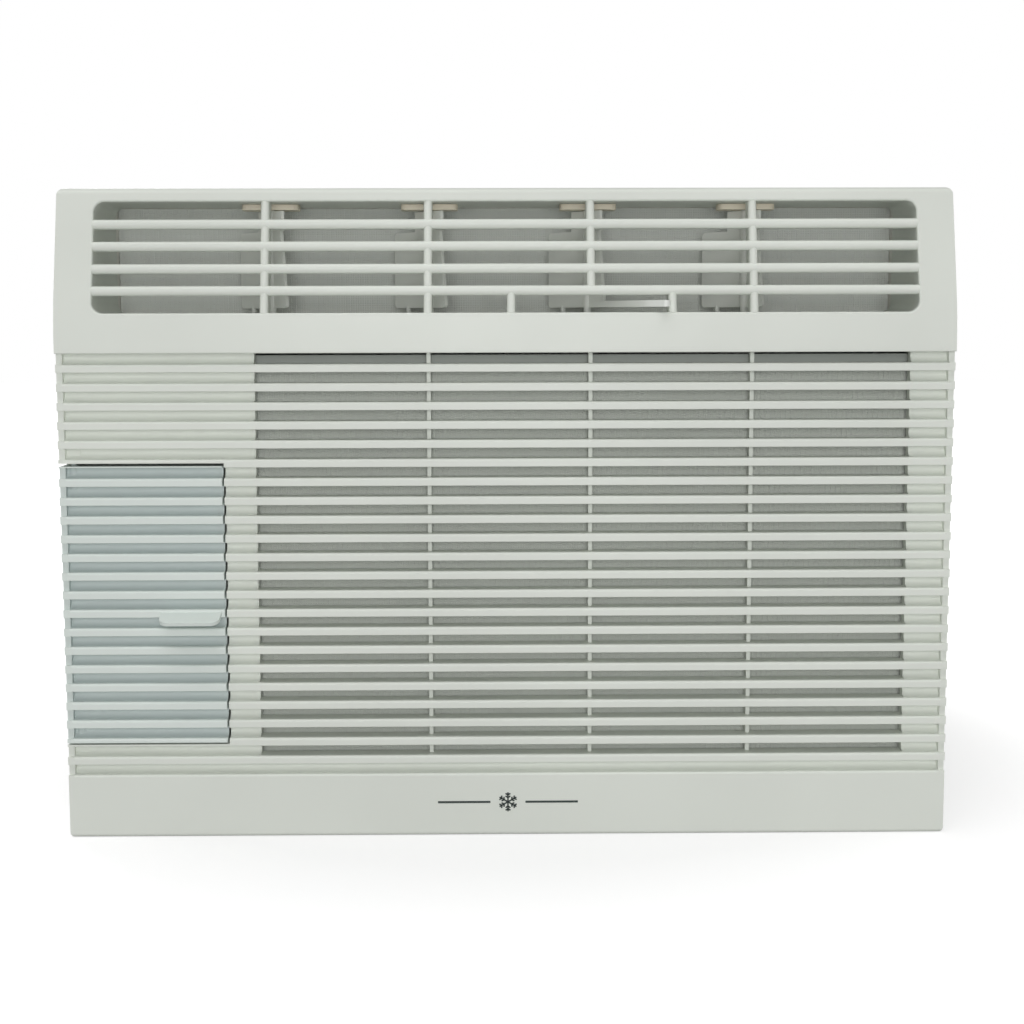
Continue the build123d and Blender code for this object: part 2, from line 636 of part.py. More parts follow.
with BuildPart() as air_filter_mesh:
    block((FILTER_LEFT + FILTER_RIM, FILTER_MESH_RIGHT), (FILTER_REACH + 0.8, FILTER_REACH + 1.8),
          (FILTER_LOW + FILTER_RIM, FILTER_TOP - FILTER_RIM))
save(air_filter_mesh, "air_filter_mesh")


# ---- evaporator --------------------------------------------------------------------
EVAP = (34.0, 60.0)
EVAP_LOW = 28.0
EVAP_TOP = 244.0
EVAP_PASSES = 8
COND = (346.0, 374.0)
COND_LEFT = -198.0
COND_RIGHT = 208.0
COND_LOW = 22.0
COND_TOP = 314.0
COND_PASSES = 10
TUBE_R = 3.9
FIN_PITCH = 4.0
FIN_GAP = 2.6
FIN_DEPTH = 9.0


def pass_heights(low, top, passes):
    """Heights of a coil's level tubes, evenly spaced."""
    pitch = (top - low) / passes
    return [low + pitch * (index + 0.5) for index in range(passes)]


def fin_pack(xs, reaches, zs, heights):
    """Finned block with a bore for every tube; both faces are cut into fins."""
    block(xs, reaches, zs)
    count = int((xs[1] - xs[0]) / FIN_PITCH) - 1
    middle = (sum(xs) / 2, sum(zs) / 2)
    for reach, direction in ((reaches[0] - 1, -1), (reaches[1] + 1, 1)):
        with BuildSketch(across(reach)) as gaps:
            with Locations(middle):
                with GridLocations(FIN_PITCH, 1, count, 1):
                    Rectangle(FIN_GAP, zs[1] - zs[0] + 2)
        extrude(gaps.sketch, amount=direction * (FIN_DEPTH + 1), mode=Mode.SUBTRACT)
    for z in heights:
        axle((xs[0] - 1, xs[1] + 1), sum(reaches) / 2, z, TUBE_R + 0.1, Mode.SUBTRACT)


def serpentine(xs, reach, heights):
    """Centre line of one tube that passes to and fro through the fins."""
    points = []
    for index, z in enumerate(heights):
        ends = xs if index % 2 == 0 else (xs[1], xs[0])
        points.append((ends[0], FRONT + reach, z))
        points.append((ends[1], FRONT + reach, z))
    return points


def tube(points, bend, radius):
    """Round tube along straight runs joined by tangent bends."""
    with BuildLine(mode=Mode.PRIVATE) as route:
        FilletPolyline(*points, radius=bend)
    start = route.line @ 0
    with BuildSketch(Plane(start, z_dir=route.line % 0), mode=Mode.PRIVATE) as section:
        Circle(radius)
    sweep(section.sketch, path=route.line)


evap_heights = pass_heights(EVAP_LOW, EVAP_TOP, EVAP_PASSES)
cond_heights = pass_heights(COND_LOW, COND_TOP, COND_PASSES)
U_BEND = 11.0

with BuildPart() as evaporator_fins:
    fin_pack((COIL_LEFT, COIL_RIGHT), EVAP, (EVAP_LOW, EVAP_TOP), evap_heights)
save(evaporator_fins, "evaporator_fins")

with BuildPart() as evaporator_tubes:
    tube(serpentine((COIL_LEFT - U_BEND, COIL_RIGHT + U_BEND), sum(EVAP) / 2, evap_heights), 10.0, TUBE_R)
save(evaporator_tubes, "evaporator_tubes")

with BuildPart() as condenser_fins:
    fin_pack((COND_LEFT, COND_RIGHT), COND, (COND_LOW, COND_TOP), cond_heights)
save(condenser_fins, "condenser_fins")

with BuildPart() as condenser_tubes:
    tube(serpentine((COND_LEFT - 9.0, COND_RIGHT + 9.0), sum(COND) / 2, cond_heights), 8.5, TUBE_R)
save(condenser_tubes, "condenser_tubes")

with BuildPart() as drip_tray:
    block((-132, 212), (31, 64), (WALL + 0.1, 27))
    block((-129, 209), (33.5, 61.5), (6, 28), Mode.SUBTRACT)
    block((-60, -40), (60, 70), (6, 10), Mode.SUBTRACT)
    for x in (-120, 0, 120, 200):
        block((x - 4, x + 4), (33, 62), (5, 26.5))
save(drip_tray, "drip_tray")


# ---- blower, discharge duct, bulkhead ----------------------------------------------
VOLUTE_R = 88.0
VOLUTE = (66.0, 148.0)
MOUTH_LEFT = 0.0
WHEEL = (76.0, 138.0)
BULKHEAD = 156.0

with BuildPart() as blower_housing:
    with BuildSketch(across(VOLUTE[0])):
        with Locations((FAN_X, FAN_Z)):
            Circle(VOLUTE_R)
        with Locations(((MOUTH_LEFT + FAN_X + VOLUTE_R) / 2, (FAN_Z + DUCT_FLOOR_LOW) / 2)):
            Rectangle(FAN_X + VOLUTE_R - MOUTH_LEFT, DUCT_FLOOR_LOW - FAN_Z - 0.2)
    extrude(amount=VOLUTE[0] - VOLUTE[1])
    with BuildSketch(across(VOLUTE[0] + 2)):
        with Locations((FAN_X, FAN_Z)):
            Circle(VOLUTE_R - 2)
        with Locations(((MOUTH_LEFT + FAN_X + VOLUTE_R) / 2, (FAN_Z + DUCT_FLOOR_LOW) / 2)):
            Rectangle(FAN_X + VOLUTE_R - MOUTH_LEFT - 4, DUCT_FLOOR_LOW - FAN_Z + 2)
    extrude(amount=VOLUTE[0] + 4 - VOLUTE[1], mode=Mode.SUBTRACT)
    rod(FAN_X, FAN_Z, (VOLUTE[0] - 1, VOLUTE[0] + 3), 58, Mode.SUBTRACT)
    rod(FAN_X, FAN_Z, (VOLUTE[1] - 3, VOLUTE[1] + 1), 12, Mode.SUBTRACT)
save(blower_housing, "blower_housing")

WHEEL_BLADES = 30
with BuildPart() as blower_wheel:
    rod(FAN_X, FAN_Z, (WHEEL[1] - 2, WHEEL[1]), WHEEL_R)
    rod(FAN_X, FAN_Z, (WHEEL[1] - 22, WHEEL[1]), 10)
    with BuildSketch(across(WHEEL[0])):
        with Locations((FAN_X, FAN_Z)):
            Circle(WHEEL_R)
            Circle(WHEEL_R - 13, mode=Mode.SUBTRACT)
    extrude(amount=-2.5)
    # forward-curved blades between the ring and the back disc
    with BuildSketch(across(WHEEL[0] + 1)):
        with Locations((FAN_X, FAN_Z)):
            with PolarLocations(WHEEL_R - 6.5, WHEEL_BLADES):
                Rectangle(12, 1.2, rotation=35)
    extrude(amount=WHEEL[0] + 2 - WHEEL[1])
    rod(FAN_X, FAN_Z, (WHEEL[0], WHEEL[1] + 1), SHAFT_R, Mode.SUBTRACT)
save(blower_wheel, "blower_wheel")

with BuildPart() as fan_shaft:
    rod(FAN_X, FAN_Z, (WHEEL[1] - 26, AXIAL[1] + 8), SHAFT_R)
    chamfer(fan_shaft.edges().filter_by(GeomType.CIRCLE), length=0.8)
save(fan_shaft, "fan_shaft")

DUCT = (PANEL_DEPTH + 0.2, 152.0)
SCREEN = (67.8, 68.8)
with BuildPart() as discharge_duct:
    outer = (-OUTLET_HALF - 3, OUTLET_HALF + 3)
    block(outer, DUCT, (DUCT_FLOOR_LOW, DUCT_ROOF_TOP))
    block((-OUTLET_HALF, OUTLET_HALF), (DUCT[0] - 1, DUCT[1] - 3), (OUTLET_LOW, OUTLET_TOP), Mode.SUBTRACT)
    block((MOUTH_LEFT, FAN_X + VOLUTE_R), (SCREEN[1] + 1, VOLUTE[1] - 2),
          (DUCT_FLOOR_LOW - 1, OUTLET_LOW + 1),
          Mode.SUBTRACT)
save(discharge_duct, "discharge_duct")

# guard screen across the duct, just clear of the vanes' rear edges
with BuildPart() as discharge_screen:
    block((-OUTLET_HALF + 0.2, OUTLET_HALF - 0.2), SCREEN, (OUTLET_LOW + 0.1, OUTLET_TOP - 0.1))
save(discharge_screen, "discharge_screen")

with BuildPart() as bulkhead:
    block((-HALF + 6, HALF - 6), (BULKHEAD, BULKHEAD + SHEET), (PAN_FLOOR, HEIGHT - 5))
    rod(FAN_X, FAN_Z, (BULKHEAD - 1, BULKHEAD + 3), 16, Mode.SUBTRACT)
    block((-HALF + 10, -165), (BULKHEAD - 1, BULKHEAD + 3), (200, 252), Mode.SUBTRACT)
    rod(HARNESS_X, HARNESS_Z, (BULKHEAD - 3, BULKHEAD + 3), HARNESS_R + 1.5, Mode.SUBTRACT)
save(bulkhead, "bulkhead")


# ---- fan motor and condenser fan ---------------------------------------------------
MOTOR = (172.0, 240.0)
with BuildPart() as fan_motor:
    rod(FAN_X, FAN_Z, (MOTOR[0] + 8, MOTOR[1]), MOTOR_R)
    fillet(fan_motor.edges().filter_by(GeomType.CIRCLE).group_by(Axis.Y)[0], radius=6)
    rod(FAN_X, FAN_Z, (MOTOR[0], MOTOR[1] + 8), 14)
    rod(FAN_X, FAN_Z, (MOTOR[0] - 1, MOTOR[1] + 9), SHAFT_R + FIT, Mode.SUBTRACT)
save(fan_motor, "fan_motor")

FOOT_HALF = 42.0
with BuildPart() as motor_bracket:
    block((FAN_X - FOOT_HALF, FAN_X + FOOT_HALF), (MOTOR[1], MOTOR[1] + 2), (PAN_FLOOR, FAN_Z + 44))
    block((FAN_X - FOOT_HALF, FAN_X + FOOT_HALF), (MOTOR[1], MOTOR[1] + 24), (PAN_FLOOR, PAN_FLOOR + 2))
    rod(FAN_X, FAN_Z, (MOTOR[1] - 1, MOTOR[1] + 3), 14.3, Mode.SUBTRACT)
    for side in (-1, 1):
        post(FAN_X + side * 30, MOTOR[1] + 15, (0, 8), 2.1, Mode.SUBTRACT)
        for z in (FAN_Z - 32, FAN_Z + 32):
            rod(FAN_X + side * 32, z, (MOTOR[1] - 1, MOTOR[1] + 3), 2.1, Mode.SUBTRACT)
save(motor_bracket, "motor_bracket")

with BuildPart() as motor_screws:
    for side in (-1, 1):
        for z in (FAN_Z - 32, FAN_Z + 32):
            rod(FAN_X + side * 32, z, (MOTOR[1] + 2, MOTOR[1] + 5), 4)
            rod(FAN_X + side * 32, z, (MOTOR[1] + 0.1, MOTOR[1] + 3), 2.0)
save(motor_screws, "motor_screws")

BLADE_PITCH = 27.0
AXIAL_BLADES = 5
pitch = math.radians(BLADE_PITCH)
with BuildPart() as axial_fan:
    rod(FAN_X, FAN_Z, (AXIAL[0], AXIAL[1]), 26)
    fillet(axial_fan.edges().filter_by(GeomType.CIRCLE), radius=2)
    for index in range(AXIAL_BLADES):
        angle = 360 / AXIAL_BLADES * index
        outward = Vector(math.cos(math.radians(angle)), 0, math.sin(math.radians(angle)))
        around = Vector(-outward.Z, 0, outward.X)
        chord = around * math.cos(pitch) + Vector(0, math.sin(pitch), 0)
        spoke = Plane(
            origin=(FAN_X, FRONT + sum(AXIAL) / 2, FAN_Z), x_dir=outward, z_dir=outward.cross(chord)
        )
        with BuildSketch(spoke):
            Polygon((20, -15), (60, -24), (104, -26), (107, 0), (102, 22), (60, 20), (20, 13), align=None)
        extrude(amount=0.9, both=True)
    # slinger ring that throws the condensate
    with BuildSketch(across(sum(AXIAL) / 2 - 4)):
        with Locations((FAN_X, FAN_Z)):
            Circle(AXIAL_R)
            Circle(AXIAL_R - 3.5, mode=Mode.SUBTRACT)
    extrude(amount=-8)
    rod(FAN_X, FAN_Z, (AXIAL[0] - 1, AXIAL[1] + 1), SHAFT_R, Mode.SUBTRACT)
save(axial_fan, "axial_fan")

with BuildPart() as fan_shroud:
    block((-196, 212), (338, 340), (PAN_FLOOR, 318))
    rod(FAN_X, FAN_Z, (312, 340), AXIAL_R + 5)
    rod(FAN_X, FAN_Z, (311, 341), AXIAL_R + 3, Mode.SUBTRACT)
save(fan_shroud, "fan_shroud")


# ---- compressor and refrigerant pipes ----------------------------------------------
COMP_LOW = 24.0
COMP_TOP = 196.0
FOOT_RING = 58.0
with BuildPart() as compressor:
    post(COMP_X, COMP_REACH, (COMP_LOW, COMP_TOP), COMP_R)
    fillet(compressor.edges().filter_by(GeomType.CIRCLE).group_by(Axis.Z)[-1], radius=18)
    fillet(compressor.edges().filter_by(GeomType.CIRCLE).group_by(Axis.Z)[0], radius=10)
    post(COMP_X, COMP_REACH, (COMP_LOW + 60, COMP_LOW + 64), COMP_R + 1)
    with BuildSketch(Plane.XY.offset(FEET_TOP)) as feet:
        with Locations((COMP_X, FRONT + COMP_REACH)):
            with PolarLocations(FOOT_RING, 3, start_angle=60):
                Circle(9)
        make_hull()
        with Locations((COMP_X, FRONT + COMP_REACH)):
            with PolarLocations(FOOT_RING, 3, start_angle=60):
                Circle(4.2, mode=Mode.SUBTRACT)
    extrude(amount=3)
    block((COMP_X - 20, COMP_X + 20), (COMP_REACH - 20, COMP_REACH + 20), (FEET_TOP, COMP_LOW + 12))
    # seats for the cover and the two pipes
    post(COMP_X, COMP_REACH, (COMP_TOP - 2, COMP_TOP + 4), 6)
    post(COMP_X, COMP_REACH, (COMP_TOP + 1, COMP_TOP + 5), PIPE_R + 0.1, Mode.SUBTRACT)
save(compressor, "compressor")

feet_places = [
    (COMP_X + FOOT_RING * math.cos(math.radians(60 + 120 * index)),
     COMP_REACH + FOOT_RING * math.sin(math.radians(60 + 120 * index)))
    for index in range(3)
]

with BuildPart() as compressor_grommets:
    for x, reach in feet_places:
        post(x, reach, (PAN_FLOOR, FEET_TOP), 9)
        post(x, reach, (PAN_FLOOR - 1, FEET_TOP + 1), 3.4, Mode.SUBTRACT)
save(compressor_grommets, "compressor_grommets")

with BuildPart() as compressor_studs:
    for x, reach in feet_places:
        post(x, reach, (PAN_FLOOR, FEET_TOP + 12), 3.0)
        with BuildSketch(Plane.XY.offset(FEET_TOP + 3)) as nut:
            with Locations((x, FRONT + reach)):
                RegularPolygon(7, 6)
        extrude(amount=6)
save(compressor_studs, "compressor_studs")

with BuildPart() as terminal_cover:
    block((COMP_X - COMP_R - 18, COMP_X - COMP_R + 12), (COMP_REACH - 17, COMP_REACH + 17), (128, 168))
    fillet(terminal_cover.edges().filter_by(Axis.Z).group_by(Axis.X)[0], radius=4)
    post(COMP_X, COMP_REACH, (120, 180), COMP_R + 1.0, Mode.SUBTRACT)
save(terminal_cover, "terminal_cover")

ACC_X = -199.0
ACC_REACH = 181.0
with BuildPart() as accumulator:
    post(ACC_X, ACC_REACH, (62, 150), 16)
    fillet(accumulator.edges().filter_by(GeomType.CIRCLE), radius=7)
    post(ACC_X, ACC_REACH, (145, 154), 5.5)
    post(ACC_X, ACC_REACH, (56, 66), 5.5)
    post(ACC_X, ACC_REACH, (151, 155), PIPE_R + 0.1, Mode.SUBTRACT)
    post(ACC_X, ACC_REACH, (55, 59), PIPE_R + 0.1, Mode.SUBTRACT)
save(accumulator, "accumulator")

DRIER_X = -209.0
DRIER = (262.0, 306.0)
DRIER_Z = cond_heights[0]
with BuildPart() as filter_drier:
    rod(DRIER_X, DRIER_Z, DRIER, 8.5)
    fillet(filter_drier.edges().filter_by(GeomType.CIRCLE), radius=3)
save(filter_drier, "filter_drier")

evap_mid = FRONT + sum(EVAP) / 2
cond_mid = FRONT + sum(COND) / 2
with BuildPart() as suction_pipe:
    top = evap_heights[-1]
    tube(
        [
            (COIL_LEFT - U_BEND - 0.2, evap_mid, top),
            (ACC_X, evap_mid, top),
            (ACC_X, FRONT + ACC_REACH, top),
            (ACC_X, FRONT + ACC_REACH, 151.2),
        ],
        14.0, PIPE_R,
    )
save(suction_pipe, "suction_pipe")

with BuildPart() as return_pipe:
    step = (COMP_X - ACC_X) / math.hypot(COMP_X - ACC_X, COMP_REACH - ACC_REACH)
    rise = (COMP_REACH - ACC_REACH) / math.hypot(COMP_X - ACC_X, COMP_REACH - ACC_REACH)
    reach_length = math.hypot(COMP_X - ACC_X, COMP_REACH - ACC_REACH) - COMP_R - 0.6
    tube(
        [
            (ACC_X, FRONT + ACC_REACH, 58.8),
            (ACC_X, FRONT + ACC_REACH, 40),
            (ACC_X + step * reach_length, FRONT + ACC_REACH + rise * reach_length, 40),
        ],
        9.0, PIPE_R,
    )
save(return_pipe, "return_pipe")

with BuildPart() as discharge_pipe:
    tube(
        [
            (COMP_X, FRONT + COMP_REACH, COMP_TOP + 1.2),
            (COMP_X, FRONT + COMP_REACH, cond_heights[-1]),
            (DRIER_X - 2, FRONT + COMP_REACH, cond_heights[-1]),
            (DRIER_X - 2, cond_mid - 24, cond_heights[-1]),
        ],
        14.0, PIPE_R,
    )
save(discharge_pipe, "discharge_pipe")

with BuildPart() as liquid_pipe:
    rod(DRIER_X, DRIER_Z, (DRIER[1] + 0.2, sum(COND) / 2 - 28), PIPE_R)
save(liquid_pipe, "liquid_pipe")

CAPILLARY_R = 1.3
with BuildPart() as capillary_tube:
    tube(
        [
            (DRIER_X, FRONT + DRIER[0] - 0.2, DRIER_Z),
            (DRIER_X, FRONT + 206, DRIER_Z),
            (DRIER_X, FRONT + 206, 206),
            (DRIER_X, FRONT + 52, 206),
            (COIL_LEFT - U_BEND - 5, FRONT + 52, 206),
        ],
        9.0, CAPILLARY_R,
    )
save(capillary_tube, "capillary_tube")

with BuildPart() as thermostat_bulb:
    tube(
        [
            (KNOB_X + 16.2, FRONT + BULB_EXIT_REACH, BULB_Z),
            (-141.5, FRONT + BULB_EXIT_REACH, BULB_Z),
            (-141.5, FRONT + 39.3, BULB_Z),
            (-130, FRONT + 39.3, BULB_Z),
            (-130, FRONT + 29.8, BULB_Z),
            (-118, FRONT + 29.8, BULB_Z),
        ],
        2.0, 1.0,
    )
    axle((-119, -60), 29.8, BULB_Z, 2.4)
save(thermostat_bulb, "thermostat_bulb")

with BuildPart() as wiring_harness:
    tube(
        [
            (HARNESS_X, FRONT + BOX_BACK - 6, HARNESS_Z),
            (HARNESS_X, FRONT + COMP_REACH - 8, HARNESS_Z),
            (HARNESS_X, FRONT + COMP_REACH - 8, 168.5),
        ],
        5.0, HARNESS_R,
    )
save(wiring_harness, "wiring_harness")


# ---- chassis and cabinet -----------------------------------------------------------
PAN_HALF = HALF - 4.2
PAN_FRONT = PANEL_DEPTH + 0.5
PAN_FLANGE = 16.0
DRAIN_X = -60.0
DRAIN_REACH = 376.0
DRAIN_R = 7.0
SILL_HOLES = (360.0, 240.0)     # spacing across and along the depth
SILL_HOLE_R = 3.0
SILL_HOLE_REACH = 210.0

with BuildPart() as base_pan:
    block((-PAN_HALF, PAN_HALF), (PAN_FRONT, BACK_REACH), (0, PAN_FLANGE))
    block((-PAN_HALF + 1.2, PAN_HALF - 1.2), (PAN_FRONT - 1, BACK_REACH - 1.2), (PAN_FLOOR, PAN_FLANGE + 1),
          Mode.SUBTRACT)
    post(DRAIN_X, DRAIN_REACH, (-1, 3), DRAIN_R, Mode.SUBTRACT)
    with Locations((0, FRONT + SILL_HOLE_REACH, 0)):
        with GridLocations(SILL_HOLES[0], SILL_HOLES[1], 2, 2):
            Cylinder(SILL_HOLE_R, 6, mode=Mode.SUBTRACT)
    for side in (-1, 1):
        for reach in CABINET_SCREWS:
            xs = sorted((side * (PAN_HALF - 3), side * (PAN_HALF + 1)))
            axle(xs, reach, 9, 1.6, Mode.SUBTRACT)
save(base_pan, "base_pan")

SHELL_HALF = HALF - 3.0
SHELL_FRONT = 54.0
SHELL_TOP = HEIGHT - 3.0
SHELL_LOW = 4.0
LOUVRES = 14
LOUVRE_PITCH = 14.0
with BuildPart() as cabinet_shell:
    block((-SHELL_HALF, SHELL_HALF), (SHELL_FRONT, BACK_REACH), (SHELL_LOW, SHELL_TOP))
    block((-SHELL_HALF + SHEET, SHELL_HALF - SHEET), (SHELL_FRONT - 1, BACK_REACH - SHEET),
          (SHELL_LOW - 1, SHELL_TOP - SHEET), Mode.SUBTRACT)
    # the rear is open inside a turned-in edge
    block((-SHELL_HALF + 12, SHELL_HALF - 12), (BACK_REACH - 3, BACK_REACH + 1),
          (SHELL_LOW - 1, SHELL_TOP - 12), Mode.SUBTRACT)
    block((-SHELL_HALF - 1, SHELL_HALF + 1), (BACK_REACH - 1.3, BACK_REACH + 1), (-1, PAN_FLANGE + 0.3),
          Mode.SUBTRACT)
    # air slots in both sides and in the roof
    with BuildSketch(Plane.YZ.offset(-SHELL_HALF - 1)) as side_slots:
        with Locations((FRONT + 284, 200)):
            with GridLocations(1, LOUVRE_PITCH, 1, LOUVRES):
                SlotOverall(84, 4)
    extrude(amount=2 * SHELL_HALF + 2, mode=Mode.SUBTRACT)
    with BuildSketch(Plane.XY.offset(SHELL_TOP - 3)) as roof_slots:
        with Locations((0, FRONT + 284)):
            with GridLocations(LOUVRE_PITCH, 1, 24, 1):
                SlotOverall(84, 4, rotation=90)
    extrude(amount=5, mode=Mode.SUBTRACT)
    for side in (-1, 1):
        for reach in CABINET_SCREWS:
            xs = sorted((side * (SHELL_HALF - 3), side * (SHELL_HALF + 1)))
            axle(xs, reach, 9, 1.8, Mode.SUBTRACT)
        for z in PANEL_SCREW_ZS:
            xs = sorted((side * (SHELL_HALF - 3), side * (SHELL_HALF + 1)))
            axle(xs, PANEL_SCREW_REACH, z, 1.6, Mode.SUBTRACT)
    axle((-SHELL_HALF - 1, -SHELL_HALF + 2), GLAND_REACH, GLAND_Z, GLAND_R + 0.1, Mode.SUBTRACT)

# The wrap is cut into a roof and two sides, which meet under the roof's edges.
LIP = 12.0
with BuildPart() as cabinet_roof:
    add(cabinet_shell.part)
    block((-HALF, HALF), (SHELL_FRONT - 1, BACK_REACH + 1), (0, SHELL_TOP - LIP), Mode.SUBTRACT)
    for side in (-1, 1):
        corner = sorted((side * (SHELL_HALF - LIP), side * HALF))
        block(corner, (SHELL_FRONT - 1, BACK_REACH + 1), (0, SHELL_TOP - SHEET), Mode.SUBTRACT)
save(cabinet_roof, "cabinet_roof")

for side, name in ((-1, "cabinet_left_side"), (1, "cabinet_right_side")):
    with BuildPart() as cabinet_side:
        add(cabinet_shell.part)
        rest = sorted((-side * HALF, side * (SHELL_HALF - LIP)))
        block(rest, (SHELL_FRONT - 1, BACK_REACH + 1), (0, HEIGHT), Mode.SUBTRACT)
        block((-HALF, HALF), (SHELL_FRONT - 1, BACK_REACH + 1), (SHELL_TOP - SHEET, HEIGHT), Mode.SUBTRACT)
    save(cabinet_side, name)

with BuildPart() as rear_grille:
    block((-SHELL_HALF + SHEET + 0.3, SHELL_HALF - SHEET - 0.3), (BACK_REACH - 3.2, BACK_REACH - 1.4),
          (PAN_FLANGE + 0.5, SHELL_TOP - SHEET - 0.3))
    with BuildSketch(across(BACK_REACH - 5)):
        with Locations((0, 172)):
            with GridLocations(132, 8.2, 3, 33):
                SlotOverall(122, 4.6)
    extrude(amount=-8, mode=Mode.SUBTRACT)
save(rear_grille, "rear_grille")

with BuildPart() as cabinet_screws:
    for side in (-1, 1):
        for reach in CABINET_SCREWS:
            head = sorted((side * SHELL_HALF, side * (SHELL_HALF + 2.0)))
            shank = sorted((side * (SHELL_HALF + 0.5), side * (SHELL_HALF - 8)))
            axle(head, reach, 9, 4.0)
            axle(shank, reach, 9, 1.5)
    chamfer(cabinet_screws.edges().filter_by(GeomType.CIRCLE).group_by(SortBy.RADIUS)[-1], length=0.5)
save(cabinet_screws, "cabinet_screws")

with BuildPart() as panel_screws:
    for side in (-1, 1):
        for z in PANEL_SCREW_ZS:
            shank = sorted((side * (HALF - 0.4), side * (SHELL_HALF - 6)))
            head = sorted((side * (HALF - 1.6), side * (HALF - 0.2)))
            axle(shank, PANEL_SCREW_REACH, z, 1.5)
            axle(head, PANEL_SCREW_REACH, z, 3.2)
save(panel_screws, "panel_screws")

with BuildPart() as cord_gland:
    axle((-SHELL_HALF - 2.6, -SHELL_HALF), GLAND_REACH, GLAND_Z, GLAND_R + 2.5)
    axle((-SHELL_HALF - 1, -SHELL_HALF + 5), GLAND_REACH, GLAND_Z, GLAND_R)
    axle((-SHELL_HALF + SHEET + 0.2, -SHELL_HALF + 5), GLAND_REACH, GLAND_Z, GLAND_R + 2)
    axle((-SHELL_HALF - 5, -SHELL_HALF + 9), GLAND_REACH, GLAND_Z, GLAND_BORE_R, Mode.SUBTRACT)
save(cord_gland, "cord_gland")

with BuildPart() as drain_plug:
    post(DRAIN_X, DRAIN_REACH, (0.3, 7), DRAIN_R - 0.3)
    post(DRAIN_X, DRAIN_REACH, (PAN_FLOOR, 3), DRAIN_R + 2.5)
    post(DRAIN_X, DRAIN_REACH, (2.4, 8), DRAIN_R - 2.5, Mode.SUBTRACT)
save(drain_plug, "drain_plug")
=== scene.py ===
import json
import math

import bmesh
import bpy
from mathutils import Matrix, Vector


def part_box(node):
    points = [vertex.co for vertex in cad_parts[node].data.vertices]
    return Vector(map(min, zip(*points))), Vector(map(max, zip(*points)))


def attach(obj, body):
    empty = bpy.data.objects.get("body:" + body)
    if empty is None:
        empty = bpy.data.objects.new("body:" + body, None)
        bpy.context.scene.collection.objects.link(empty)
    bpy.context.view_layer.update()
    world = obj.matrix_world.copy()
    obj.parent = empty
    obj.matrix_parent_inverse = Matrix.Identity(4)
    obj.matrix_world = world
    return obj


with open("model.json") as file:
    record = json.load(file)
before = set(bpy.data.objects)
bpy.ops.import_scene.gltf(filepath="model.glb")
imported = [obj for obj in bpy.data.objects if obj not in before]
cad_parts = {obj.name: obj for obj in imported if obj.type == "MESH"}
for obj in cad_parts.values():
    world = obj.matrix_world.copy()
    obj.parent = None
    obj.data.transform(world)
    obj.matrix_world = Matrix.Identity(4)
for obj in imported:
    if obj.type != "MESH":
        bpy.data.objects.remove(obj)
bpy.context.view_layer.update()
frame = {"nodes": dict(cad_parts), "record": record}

MM = 0.001
scene = bpy.context.scene

# ---- the frame's own measures ------------------------------------------------------
STRIP_PROUD = 1.5 * MM
FACE_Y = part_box("front_panel")[0].y + STRIP_PROUD       # flat lower face of the front panel
ROOF_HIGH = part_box("cabinet_roof")[1]


# ---- camera ------------------------------------------------------------------------
CAMERA_X = -7.7 * MM
CAMERA_DISTANCE = 842.1 * MM                # from the flat lower face
CAMERA_Z = 264.5 * MM
CAMERA_YAW = math.radians(0.69)
CAMERA_PITCH = math.radians(6.56)
CAMERA_ROLL = math.radians(-0.14)
CAMERA_LENS = 59.06                         # lens and sensor in mm, as Blender takes them
CAMERA_SENSOR = 36
CAMERA_CLIP = 10.0 * MM


def make_camera():
    camera = bpy.data.objects.new("view_camera", bpy.data.cameras.new("view_camera"))
    scene.collection.objects.link(camera)
    forward = Vector((
        math.sin(CAMERA_YAW) * math.cos(CAMERA_PITCH),
        math.cos(CAMERA_YAW) * math.cos(CAMERA_PITCH),
        -math.sin(CAMERA_PITCH),
    ))
    level_right = forward.cross(Vector((0, 0, 1))).normalized()
    level_up = level_right.cross(forward)
    right = level_right * math.cos(CAMERA_ROLL) + level_up * math.sin(CAMERA_ROLL)
    up = level_up * math.cos(CAMERA_ROLL) - level_right * math.sin(CAMERA_ROLL)
    turn = Matrix((right, up, -forward)).transposed().to_4x4()
    place = Matrix.Translation((CAMERA_X, FACE_Y - CAMERA_DISTANCE, CAMERA_Z))
    camera.matrix_world = place @ turn
    camera.data.lens = CAMERA_LENS
    camera.data.sensor_width = CAMERA_SENSOR
    camera.data.clip_start = CAMERA_CLIP
    scene.camera = camera


# ---- materials ---------------------------------------------------------------------
def srgb(red, green, blue):
    """Linear colour of an 8-bit display colour."""
    values = []
    for channel in (red, green, blue):
        c = channel / 255
        values.append(c / 12.92 if c <= 0.04045 else ((c + 0.055) / 1.055) ** 2.4)
    return (*values, 1.0)


